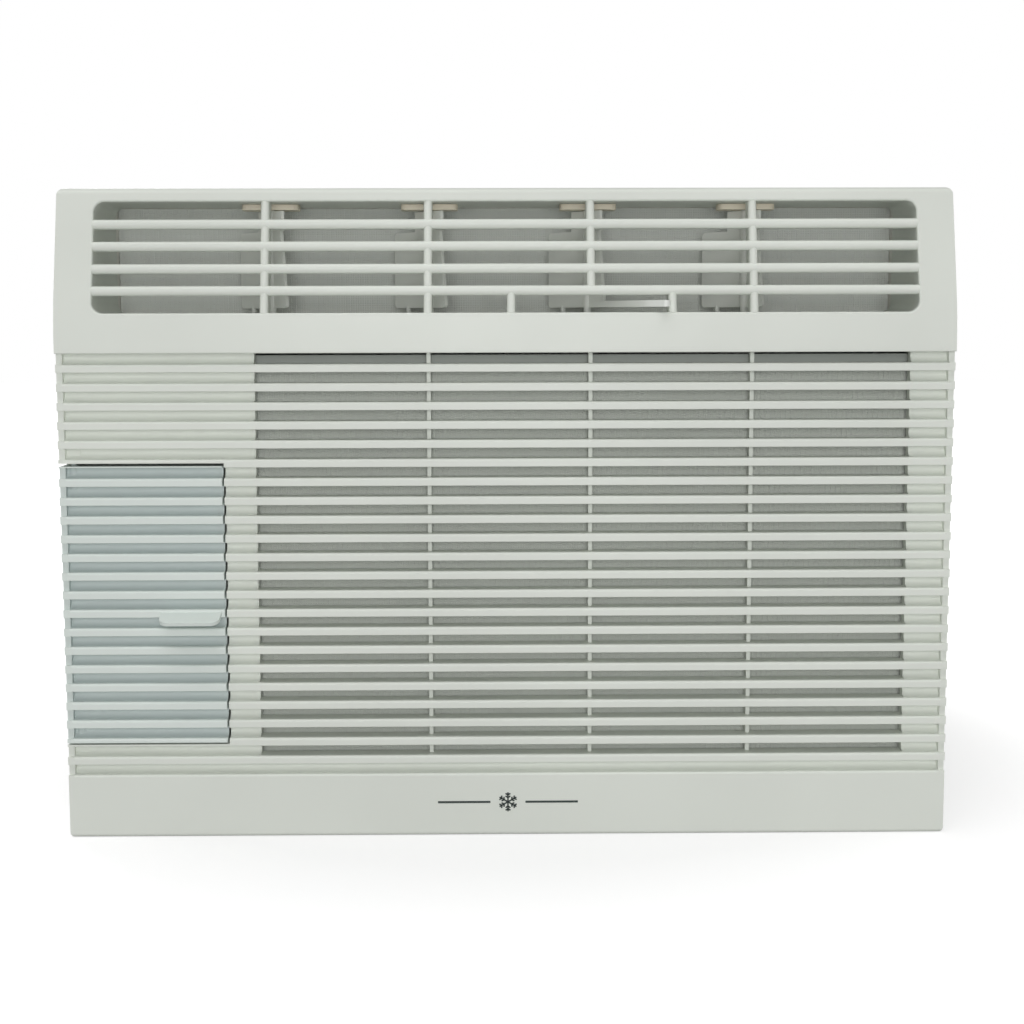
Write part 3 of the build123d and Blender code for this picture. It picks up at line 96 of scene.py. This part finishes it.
class Surface:
    """A Principled material and the few nodes that vary it, all in the object's own coordinates."""

    def __init__(self, name, roughness, metallic=0.0):
        self.material = bpy.data.materials.new(name)
        self.material.use_nodes = True
        self.nodes = self.material.node_tree.nodes
        self.links = self.material.node_tree.links
        self.shader = self.nodes["Principled BSDF"]
        self.shader.inputs["Roughness"].default_value = roughness
        self.shader.inputs["Metallic"].default_value = metallic
        self.place = self.nodes.new("ShaderNodeTexCoord").outputs["Object"]
        self.normal = None

    def stretched(self, scale):
        """The object's coordinates, scaled apart on each axis."""
        mapping = self.nodes.new("ShaderNodeMapping")
        mapping.inputs["Scale"].default_value = scale
        self.links.new(self.place, mapping.inputs["Vector"])
        return mapping.outputs["Vector"]

    def noise(self, scale, detail=3.0, stretch=None):
        node = self.nodes.new("ShaderNodeTexNoise")
        node.inputs["Scale"].default_value = scale
        node.inputs["Detail"].default_value = detail
        self.links.new(self.stretched(stretch) if stretch else self.place, node.inputs["Vector"])
        return node.outputs["Fac"]

    def cells(self, scale, output="Distance"):
        node = self.nodes.new("ShaderNodeTexVoronoi")
        node.inputs["Scale"].default_value = scale
        self.links.new(self.place, node.inputs["Vector"])
        return node.outputs[output]

    def ramp(self, factor, low, high, start=0.35, end=0.65):
        node = self.nodes.new("ShaderNodeValToRGB")
        node.color_ramp.elements[0].position = start
        node.color_ramp.elements[0].color = low
        node.color_ramp.elements[1].position = end
        node.color_ramp.elements[1].color = high
        self.links.new(factor, node.inputs["Fac"])
        return node.outputs["Color"]

    def colour(self, source):
        self.links.new(source, self.shader.inputs["Base Color"])

    def roughness(self, factor, low, high):
        node = self.nodes.new("ShaderNodeMapRange")
        node.inputs["To Min"].default_value = low
        node.inputs["To Max"].default_value = high
        self.links.new(factor, node.inputs["Value"])
        self.links.new(node.outputs["Result"], self.shader.inputs["Roughness"])

    def bump(self, height, strength, distance):
        node = self.nodes.new("ShaderNodeBump")
        node.inputs["Strength"].default_value = strength
        node.inputs["Distance"].default_value = distance
        self.links.new(height, node.inputs["Height"])
        if self.normal is not None:
            self.links.new(self.normal, node.inputs["Normal"])
        self.normal = node.outputs["Normal"]
        self.links.new(self.normal, self.shader.inputs["Normal"])

    def satin(self, roughness):
        """Fine satin grain of a moulded surface."""
        self.roughness(self.noise(scale=60.0, detail=4.0), roughness - 0.05, roughness + 0.07)
        self.bump(self.noise(scale=2600.0, detail=2.0), strength=0.10, distance=0.08 * MM)
        self.shader.inputs["Specular IOR Level"].default_value = 0.4


def shade(colour, factor):
    """The colour made darker or lighter."""
    return (colour[0] * factor, colour[1] * factor, colour[2] * factor, 1.0)


MOULDED_ROUGHNESS = 0.42


def moulded(name, colour, roughness=MOULDED_ROUGHNESS):
    """Moulded plastic: slow drift of tone, fine satin grain."""
    surface = Surface(name, roughness)
    drift = surface.noise(scale=7.0, detail=2.0)
    surface.colour(surface.ramp(drift, shade(colour, 0.965), shade(colour, 1.02)))
    surface.satin(roughness)
    return surface.material


GROOVE_START = 1.0 * MM                     # behind the panel's face
GROOVE_END = 7.5 * MM
GROOVE_SHADE_BAND = (0.35, 0.75)                  # shares of the way from start to end where the painted groove shade is full


def ridged_with_groove_shade(name, crest, groove_shade):
    """Moulded plastic with painted shade: its grooves a little darker than their crests."""
    surface = Surface(name, MOULDED_ROUGHNESS)
    axes = surface.nodes.new("ShaderNodeSeparateXYZ")
    surface.links.new(surface.place, axes.inputs["Vector"])
    depth = surface.nodes.new("ShaderNodeMapRange")
    depth.inputs["From Min"].default_value = FACE_Y + GROOVE_START
    depth.inputs["From Max"].default_value = FACE_Y + GROOVE_END
    surface.links.new(axes.outputs["Y"], depth.inputs["Value"])
    # painted groove shade: the colour darkens with depth behind the panel's face, then returns to the
    # crest's
    tone = surface.nodes.new("ShaderNodeValToRGB")
    tone.color_ramp.elements[0].color = crest
    tone.color_ramp.elements[1].color = crest
    for share in GROOVE_SHADE_BAND:
        tone.color_ramp.elements.new(share).color = groove_shade
    surface.links.new(depth.outputs["Result"], tone.inputs["Fac"])
    surface.colour(tone.outputs["Color"])
    surface.satin(MOULDED_ROUGHNESS)
    return surface.material


def painted(name, colour, roughness=0.48):
    """Baked enamel on sheet metal: slight orange peel."""
    surface = Surface(name, roughness)
    drift = surface.noise(scale=5.0, detail=2.0)
    surface.colour(surface.ramp(drift, shade(colour, 0.95), shade(colour, 1.02)))
    surface.roughness(surface.noise(scale=90.0, detail=3.0), roughness - 0.06, roughness + 0.08)
    surface.bump(surface.noise(scale=700.0, detail=1.0), strength=0.25, distance=0.10 * MM)
    return surface.material


def galvanised(name):
    """Zinc-coated sheet with its spangle."""
    surface = Surface(name, 0.4, metallic=1.0)
    spangle = surface.cells(160.0, "Color")
    tones = surface.ramp(spangle, srgb(186, 189, 191), srgb(204, 206, 207), start=0.2, end=0.8)
    surface.colour(tones)
    surface.roughness(spangle, 0.46, 0.56)
    surface.bump(surface.noise(scale=900.0, detail=2.0), strength=0.12, distance=0.06 * MM)
    return surface.material


METAL_LINES = 220.0


def metal(name, low, high, roughness, stretch=(1, 1, 1)):
    """Drawn or rolled metal with fine lines and tarnish."""
    surface = Surface(name, roughness, metallic=1.0)
    tarnish = surface.noise(scale=28.0, detail=4.0)
    surface.colour(surface.ramp(tarnish, low, high, start=0.3, end=0.7))
    lines = surface.noise(METAL_LINES, 3.0, stretch)
    surface.roughness(lines, roughness - 0.08, roughness + 0.10)
    fine_lines = surface.noise(METAL_LINES * 4, 2.0, stretch)
    surface.bump(fine_lines, strength=0.10, distance=0.06 * MM)
    return surface.material


def rubbery(name):
    """Matt black rubber with a dusty bloom."""
    surface = Surface(name, 0.75)
    bloom = surface.noise(scale=40.0, detail=3.0)
    surface.colour(surface.ramp(bloom, srgb(34, 34, 35), srgb(52, 52, 53)))
    surface.bump(surface.noise(scale=1500.0, detail=2.0), strength=0.25, distance=0.12 * MM)
    return surface.material


def foam(name, colour):
    """Expanded polystyrene: pressed beads."""
    surface = Surface(name, 0.7)
    beads = surface.cells(330.0)
    surface.colour(surface.ramp(beads, shade(colour, 1.02), shade(colour, 0.93), start=0.1, end=0.9))
    surface.bump(beads, strength=0.35, distance=0.30 * MM)
    return surface.material


def woven(name, colour):
    """Fine nylon net: two crossing waves."""
    surface = Surface(name, 0.6)
    drift = surface.noise(scale=20.0, detail=3.0)
    surface.colour(surface.ramp(drift, shade(colour, 0.98), shade(colour, 1.01)))
    for axis in ("X", "Z"):
        wave = surface.nodes.new("ShaderNodeTexWave")
        wave.bands_direction = axis
        wave.inputs["Scale"].default_value = 250.0
        surface.links.new(surface.place, wave.inputs["Vector"])
        surface.bump(wave.outputs["Fac"], strength=0.5, distance=0.15 * MM)
    return surface.material


PANEL_WHITE = srgb(233, 237, 229)
DOOR_WHITE = srgb(229, 237, 232)
# painted shade colour of the door's grooves
DOOR_GROOVE_SHADE = srgb(202, 212, 210)
ROLLED_STRETCH = (1, 1, 12)                 # lines run along x and y on the rolled sheet
FIN_STRETCH = (14, 1, 1)                    # and stand upright on the fins
PRINTED = "print_ink"


def make_materials():
    """Every record slot's material, and the ink of the printed marks."""
    return {
        "panel_plastic": moulded("panel_plastic", PANEL_WHITE),
        # the door's material carries painted shade in its grooves
        "door_plastic": ridged_with_groove_shade("door_plastic", DOOR_WHITE, DOOR_GROOVE_SHADE),
        "vane_plastic": moulded("vane_plastic", srgb(246, 248, 243)),
        "beige_plastic": moulded("beige_plastic", srgb(250, 240, 220), 0.5),
        "knob_plastic": moulded("knob_plastic", srgb(196, 201, 199), 0.3),
        "black_plastic": moulded("black_plastic", srgb(38, 39, 41), 0.45),
        "filter_plastic": moulded("filter_plastic", srgb(168, 173, 168), 0.5),
        "filter_mesh": woven("filter_mesh", srgb(210, 214, 207)),
        "screen_mesh": woven("screen_mesh", srgb(228, 231, 226)),
        "galvanised_steel": galvanised("galvanised_steel"),
        "aluminium": metal(
            "aluminium", srgb(176, 178, 180), srgb(208, 209, 210), 0.3, ROLLED_STRETCH,
        ),
        "fin_aluminium": metal(
            "fin_aluminium", srgb(178, 182, 184), srgb(206, 208, 209), 0.38, FIN_STRETCH,
        ),
        "steel": metal("steel", srgb(150, 150, 148), srgb(186, 186, 184), 0.34),
        "copper": metal("copper", srgb(168, 98, 62), srgb(204, 128, 90), 0.34),
        "motor_paint": painted("motor_paint", srgb(84, 87, 90)),
        "compressor_paint": painted("compressor_paint", srgb(30, 31, 33), 0.32),
        "rubber": rubbery("rubber"),
        "duct_plastic": foam("duct_plastic", srgb(250, 249, 242)),
        PRINTED: moulded(PRINTED, srgb(62, 72, 69), 0.5),
        "cabinet_paint": painted("cabinet_paint", srgb(226, 230, 223)),
    }


MATERIALS = make_materials()


# ---- stage -------------------------------------------------------------------------
WHITE = (1, 1, 1, 1)
FLOOR_REACH = 6.0
FLOOR_GREY = (0.55, 0.55, 0.55, 1)
GLOW_NEAR_M = 0.24                          # the glow grows from here, in metres from the middle
GLOW_FAR_M = 0.55                           # and stays the same beyond here
# the weaker glow near the object is painted shade round it, deepening its cast shadow there
GLOW_IN_PAINTED_SHADE = 0.52
GLOW_FAR = 0.95
WORLD_LIGHT = 0.12


def make_stage():
    """A floor that the camera sees as white, with the object's shadow on it and a painted shade round
    the object.
    """
    mesh = bpy.data.meshes.new("floor")
    corners = [(x, y, 0) for x, y in rectangle(-FLOOR_REACH, -FLOOR_REACH, FLOOR_REACH, FLOOR_REACH)]
    mesh.from_pydata(corners, [], [(0, 1, 2, 3)])
    floor = bpy.data.objects.new("floor", mesh)
    scene.collection.objects.link(floor)
    surface = Surface("floor", 0.9)
    surface.shader.inputs["Base Color"].default_value = FLOOR_GREY
    surface.shader.inputs["Specular IOR Level"].default_value = 0.0
    surface.shader.inputs["Emission Color"].default_value = WHITE
    # the glow whitens the floor as seen, most of all far away, and doesn't light the object; weaker
    # near the object, it paints shade round the object's cast shadow
    distance = surface.nodes.new("ShaderNodeVectorMath")
    distance.operation = "LENGTH"
    surface.links.new(surface.place, distance.inputs[0])
    glow = surface.nodes.new("ShaderNodeMapRange")
    glow.inputs["From Min"].default_value = GLOW_NEAR_M
    glow.inputs["From Max"].default_value = GLOW_FAR_M
    glow.inputs["To Min"].default_value = GLOW_IN_PAINTED_SHADE
    glow.inputs["To Max"].default_value = GLOW_FAR
    surface.links.new(distance.outputs["Value"], glow.inputs["Value"])
    seen = surface.nodes.new("ShaderNodeLightPath")
    as_seen = surface.nodes.new("ShaderNodeMath")
    as_seen.operation = "MULTIPLY"
    surface.links.new(glow.outputs["Result"], as_seen.inputs[0])
    surface.links.new(seen.outputs["Is Camera Ray"], as_seen.inputs[1])
    surface.links.new(as_seen.outputs["Value"], surface.shader.inputs["Emission Strength"])
    floor.data.materials.append(surface.material)


def make_world():
    """A dim white world that the camera sees as plain white."""
    world = bpy.data.worlds.new("studio")
    scene.world = world
    world.use_nodes = True
    nodes, links = world.node_tree.nodes, world.node_tree.links
    ambient = nodes["Background"]
    ambient.inputs["Color"].default_value = WHITE
    ambient.inputs["Strength"].default_value = WORLD_LIGHT
    backdrop = nodes.new("ShaderNodeBackground")
    backdrop.inputs["Color"].default_value = WHITE
    path = nodes.new("ShaderNodeLightPath")
    mix = nodes.new("ShaderNodeMixShader")
    links.new(path.outputs["Is Camera Ray"], mix.inputs["Fac"])
    links.new(ambient.outputs["Background"], mix.inputs[1])
    links.new(backdrop.outputs["Background"], mix.inputs[2])
    links.new(mix.outputs["Shader"], nodes["World Output"].inputs["Surface"])


KEY_STRENGTH = 1.3
KEY_SPREAD = math.radians(50)
KEY_DIRECTION = (0.12, 0.24, -0.96)

# name, place, target, size and watts of the square lights
FILLS = (
    ("front_fill", (0.05, -2.3, 0.5), (0, 0, 0.2), 1.0, 18.0),
    ("back_fill", (-0.9, 1.6, 1.1), (0, 0, 0.17), 1.2, 18.0),
    ("side_fill", (1.9, 0.5, 0.8), (0.2, 0, 0.17), 1.2, 7.0),
)


def hang_light(name, data, direction):
    """Put a light into the scene, shining along a direction."""
    light = bpy.data.objects.new(name, data)
    scene.collection.objects.link(light)
    light.rotation_mode = "QUATERNION"
    light.rotation_quaternion = Vector(direction).to_track_quat("-Z", "Y")
    return light


def area_light(name, place, target, size, watts):
    """A square light at a place, turned to a target."""
    data = bpy.data.lights.new(name, "AREA")
    data.shape = "SQUARE"
    data.size = size
    data.energy = watts
    light = hang_light(name, data, Vector(target) - Vector(place))
    light.location = place


def make_lights():
    """A wide soft light from nearly overhead, and weaker ones from the front, back left and right."""
    data = bpy.data.lights.new("key", "SUN")
    data.energy = KEY_STRENGTH
    data.angle = KEY_SPREAD
    hang_light("key", data, KEY_DIRECTION)
    for fill in FILLS:
        area_light(*fill)


def dress_nodes():
    """Give every CAD node its own slot's material."""
    slots = {row["node"]: row["material_slot"] for row in frame["record"]["subparts"]}
    for name, node in frame["nodes"].items():
        node.data.materials.clear()
        node.data.materials.append(MATERIALS[slots[name]])


# ---- pieces made here --------------------------------------------------------------
def piece(name, shape, look, body):
    """Turn a finished bmesh into an object that rides on a body."""
    bmesh.ops.recalc_face_normals(shape, faces=shape.faces)
    mesh = bpy.data.meshes.new(name)
    shape.to_mesh(mesh)
    shape.free()
    made = bpy.data.objects.new(name, mesh)
    scene.collection.objects.link(made)
    made.data.materials.append(MATERIALS[look])
    # the ink has no slot of its own in the record
    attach(made, body)
    return made


def add_prism(shape, outline, place, depth):
    """Closed prism of a flat outline; place maps (across, up, out) to a point."""
    front = [shape.verts.new(place(u, v, depth)) for u, v in outline]
    back = [shape.verts.new(place(u, v, 0.0)) for u, v in outline]
    shape.faces.new(front)
    shape.faces.new(list(reversed(back)))
    for index in range(len(outline)):
        after = (index + 1) % len(outline)
        shape.faces.new((front[index], back[index], back[after], front[after]))


def rectangle(u0, v0, u1, v1):
    return [(u0, v0), (u1, v0), (u1, v1), (u0, v1)]


def spread(count, pitch, centre=0.0):
    """Evenly spaced values about a centre."""
    return [centre + (index - (count - 1) / 2) * pitch for index in range(count)]


def disc(u, v, radius, sides):
    turns = [2 * math.pi * index / sides for index in range(sides)]
    return [(u + radius * math.cos(t), v + radius * math.sin(t)) for t in turns]


def turned(outline, degrees, u=0.0, v=0.0):
    """The outline turned about the origin, then moved."""
    c, s = math.cos(math.radians(degrees)), math.sin(math.radians(degrees))
    return [(u + x * c - y * s, v + x * s + y * c) for x, y in outline]


def facing_room(y, x0=0.0, z0=0.0):
    """Place on a plane that faces the room."""
    return lambda u, v, out: (x0 + u, y - out, z0 + v)


def facing_side(side, x, y0, z0):
    """Place on the left (-1) or right (+1) side."""
    return lambda u, v, out: (side * (x + out), y0 + side * u, z0 + v)


def facing_up(x0, y0, z):
    """Place on top."""
    return lambda u, v, out: (x0 + v, y0 + u, z + out)


PRINT_HEIGHT = 0.12 * MM
ARMS = 6
ARM_WIDTH = 0.15                            # these three as shares of the crystal's radius
BARB_LENGTH = 0.30
BARB_PLACES = (0.45, 0.72)
BARB_LEAN = 55


def arm_outlines(radius):
    """One arm of a six-armed ice crystal, with two pairs of barbs."""
    half = radius * ARM_WIDTH / 2
    outlines = [rectangle(0, -half, radius, half)]
    for share in BARB_PLACES:
        for lean in (-BARB_LEAN, BARB_LEAN):
            barb = rectangle(0, -half, radius * BARB_LENGTH, half)
            outlines.append(turned(barb, lean, radius * share))
    return outlines


def add_crystal(shape, place, u, v, radius):
    for index in range(ARMS):
        for outline in arm_outlines(radius):
            add_prism(shape, turned(outline, 360 / ARMS * index + 90, u, v), place, PRINT_HEIGHT)


BADGE_Z = 17.5 * MM
BADGE_RADIUS = 5.0 * MM
BADGE_LINE_START = 9.0 * MM
BADGE_LINE_END = 36.0 * MM
BADGE_LINE_WIDTH = 1.1 * MM


def make_badge():
    """Plain pictogram between two lines, printed on the fascia."""
    shape = bmesh.new()
    place = facing_room(FACE_Y, 0.0, BADGE_Z)
    add_crystal(shape, place, 0.0, 0.0, BADGE_RADIUS)
    for side in (-1, 1):
        start, end = sorted((side * BADGE_LINE_START, side * BADGE_LINE_END))
        line = rectangle(start, -BADGE_LINE_WIDTH / 2, end, BADGE_LINE_WIDTH / 2)
        add_prism(shape, line, place, PRINT_HEIGHT)
    piece("fascia_badge", shape, PRINTED, "chassis")


NET_PITCH = 2.6 * MM
NET_STRAND = 0.42 * MM
NET_LEVEL_HEIGHT = NET_STRAND * 0.8         # the level strands lie a little lower


def make_net(name, node, slot, body):
    """Woven strands on the front of a mesh sheet."""
    low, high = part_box(node)
    shape = bmesh.new()
    place = facing_room(low.y)
    columns = int((high.x - low.x) / NET_PITCH)
    rows = int((high.z - low.z) / NET_PITCH)
    for index in range(1, columns):
        x = low.x + (high.x - low.x) * index / columns
        strand = rectangle(x - NET_STRAND / 2, low.z, x + NET_STRAND / 2, high.z)
        add_prism(shape, strand, place, NET_STRAND)
    for index in range(1, rows):
        z = low.z + (high.z - low.z) * index / rows
        strand = rectangle(low.x, z - NET_STRAND / 2, high.x, z + NET_STRAND / 2)
        add_prism(shape, strand, place, NET_LEVEL_HEIGHT)
    piece(name, shape, slot, body)


DIAL_RADIUS = 28.5 * MM
PLATE_RIDGE = 1.0 * MM                      # the control plate's rings stand this proud of its face
DIAL_SWEEP = 150                            # degrees each way
DIAL_TICKS = 9
TICK_LENGTH = 1.4 * MM
TICK_GROWTH = 0.45 * MM
TICK_WIDTH = 1.1 * MM
MODE_TURNS = (-120, -60, 0, 60, 120)        # degrees from upright
OFF_RADIUS = 1.8 * MM
OFF_SIDES = 28
DOT_RADIUS = 1.0 * MM
DOT_SIDES = 20
DOT_PITCH = 3.0 * MM
CRYSTAL_RADIUS = 1.4 * MM
CRYSTAL_GROWTH = 0.6 * MM


def add_cold_wedge(shape, place):
    """Ticks that grow as the thermostat's knob turns to cold."""
    for index in range(DIAL_TICKS):
        angle = 90 + DIAL_SWEEP - 2 * DIAL_SWEEP * index / (DIAL_TICKS - 1)
        half = (TICK_LENGTH + TICK_GROWTH * index) / 2
        tick = rectangle(DIAL_RADIUS - half, -TICK_WIDTH / 2, DIAL_RADIUS + half, TICK_WIDTH / 2)
        add_prism(shape, turned(tick, angle), place, PRINT_HEIGHT)


def add_mode_marks(shape, place):
    """One large dot for off, one and two dots for the fan, two crystals for cooling."""
    for index, turn in enumerate(MODE_TURNS):
        angle = math.radians(90 - turn)
        u, v = DIAL_RADIUS * math.cos(angle), DIAL_RADIUS * math.sin(angle)
        if index == 0:
            add_prism(shape, disc(u, v, OFF_RADIUS, OFF_SIDES), place, PRINT_HEIGHT)
        elif index < 3:
            for shift in spread(index, DOT_PITCH):
                add_prism(shape, disc(u + shift, v, DOT_RADIUS, DOT_SIDES), place, PRINT_HEIGHT)
        else:
            add_crystal(shape, place, u, v, CRYSTAL_RADIUS + CRYSTAL_GROWTH * (index - 2))


def make_dial_marks():
    """Printed marks round both knobs."""
    face_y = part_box("control_plate")[0].y + PLATE_RIDGE
    shape = bmesh.new()
    for knob, add_marks in (("mode_knob", add_mode_marks), ("thermostat_knob", add_cold_wedge)):
        low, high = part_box(knob)
        add_marks(shape, facing_room(face_y, (low.x + high.x) / 2, (low.z + high.z) / 2))
    piece("dial_marks", shape, PRINTED, "chassis")


SCREW_REACHES = (90.0 * MM, 205.0 * MM, 370.0 * MM)
SCREW_Z = 9.0 * MM
PANEL_SCREW_REACH = 57.0 * MM
PANEL_SCREW_ZS = (14.0 * MM, 256.0 * MM)
CROSS_HALF_LENGTH = 2.1 * MM
CROSS_HALF_WIDTH = 0.55 * MM
CROSS_HEIGHT = 0.06 * MM
CROSS_TURN = 20


def make_screw_recess_shade():
    """Black crosses on the heads of the cabinet and panel screws: painted shade of their cross
    recesses.
    """
    cabinet_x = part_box("cabinet_screws")[1].x
    panel_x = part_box("panel_screws")[1].x
    heads = [(cabinet_x, reach, SCREW_Z) for reach in SCREW_REACHES]
    heads += [(panel_x, PANEL_SCREW_REACH, z) for z in PANEL_SCREW_ZS]
    bar = rectangle(-CROSS_HALF_LENGTH, -CROSS_HALF_WIDTH, CROSS_HALF_LENGTH, CROSS_HALF_WIDTH)
    shape = bmesh.new()
    for x, reach, z in heads:
        for side in (-1, 1):
            place = facing_side(side, x, FACE_Y + reach, z)
            for degrees in (CROSS_TURN, CROSS_TURN + 90):
                add_prism(shape, turned(bar, degrees), place, CROSS_HEIGHT)
    # painted shade: a thin black cross stands in for the shadowed recess of each screw head
    piece("screw_recess_shade", shape, "black_plastic", "chassis")


HOOD_LENGTH = 84.0 * MM
HOOD_RISE = 2.0 * MM
HOOD_HEIGHT = 5.0 * MM
HOOD_SKIN = 0.7 * MM
HOOD_LIFT = 2.0 * MM                        # above the slot's middle
HOOD_OVERLAP = 0.25                         # share of its height that hangs below the lift
HOOD_END = 0.35                             # the smaller, the blunter its ends
HOOD_STEPS_ALONG = 22
HOOD_STEPS_OVER = 6
SLOT_REACH = 284.0 * MM
SIDE_SLOTS = 14
ROOF_SLOTS = 24
SLOT_PITCH = 14.0 * MM
SIDE_SLOT_Z = 200.0 * MM


def add_hood(shape, place):
    """Pressed lip over an air slot: a thin scoop with rounded ends, open along one side."""
    along, over = HOOD_STEPS_ALONG, HOOD_STEPS_OVER
    foot = HOOD_LIFT - HOOD_HEIGHT * HOOD_OVERLAP
    grids = []
    for skin in (0.0, HOOD_SKIN):
        rows = []
        for i in range(along + 1):
            t = i / along
            swell = max(0.0, math.sin(math.pi * t)) ** HOOD_END
            row = []
            for j in range(over + 1):
                angle = math.pi / 2 * j / over
                rise = (HOOD_RISE * swell - skin * swell) * math.sin(angle)
                up = foot + (HOOD_HEIGHT * swell - skin) * math.cos(angle)
                row.append(shape.verts.new(place((t - 0.5) * HOOD_LENGTH, up, max(rise, 0.0))))
            rows.append(row)
        grids.append(rows)
    outer, inner = grids
    for i in range(along):
        for j in range(over):
            shape.faces.new((outer[i][j], outer[i + 1][j], outer[i + 1][j + 1], outer[i][j + 1]))
            shape.faces.new((inner[i][j], inner[i][j + 1], inner[i + 1][j + 1], inner[i + 1][j]))
        for j in (0, over):
            shape.faces.new((outer[i][j], inner[i][j], inner[i + 1][j], outer[i + 1][j]))
    for i in (0, along):
        for j in range(over):
            shape.faces.new((outer[i][j], outer[i][j + 1], inner[i][j + 1], inner[i][j]))


def make_hoods():
    """Pressed lips on both sides and the roof of the cabinet."""
    slot_y = FACE_Y + SLOT_REACH
    side_zs = spread(SIDE_SLOTS, SLOT_PITCH, SIDE_SLOT_Z)
    banks = (
        ("left_louvres", [facing_side(-1, ROOF_HIGH.x, slot_y, z) for z in side_zs]),
        ("right_louvres", [facing_side(1, ROOF_HIGH.x, slot_y, z) for z in side_zs]),
        ("roof_louvres", [facing_up(x, slot_y, ROOF_HIGH.z) for x in spread(ROOF_SLOTS, SLOT_PITCH)]),
    )
    for name, places in banks:
        shape = bmesh.new()
        for place in places:
            add_hood(shape, place)
        hoods = piece(name, shape, "cabinet_paint", "chassis")
        hoods.data.shade_smooth()


RIDGE_PITCH = 4.0 * MM
RIDGE_COUNT = 7
RIDGE_HALF_LENGTH = 2.2 * MM
RIDGE_HALF_WIDTH = 0.7 * MM
RIDGE_HEIGHT = 0.3 * MM
GRIP_PLACES = (0.30, 0.84)                  # shares of the filter frame's height


def make_filter_grip():
    """Finger ridges beside the pull recess of the filter, at the side slot."""
    low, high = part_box("air_filter_frame")
    middle_y = (low.y + high.y) / 2
    ridge = rectangle(-RIDGE_HALF_LENGTH, -RIDGE_HALF_WIDTH, RIDGE_HALF_LENGTH, RIDGE_HALF_WIDTH)
    shape = bmesh.new()
    for share in GRIP_PLACES:
        centre = low.z + (high.z - low.z) * share
        for z in spread(RIDGE_COUNT, RIDGE_PITCH, centre):
            add_prism(shape, ridge, facing_side(1, high.x, middle_y, z), RIDGE_HEIGHT)
    piece("filter_grip_ridges", shape, "filter_plastic", "filter_body")


make_camera()
make_stage()
make_world()
make_lights()
dress_nodes()
make_badge()
make_net("filter_net", "air_filter_mesh", "filter_mesh", "filter_body")
make_net("screen_net", "discharge_screen", "screen_mesh", "chassis")
make_dial_marks()
make_screw_recess_shade()
make_hoods()
make_filter_grip()
scene.view_settings.view_transform = "Standard"
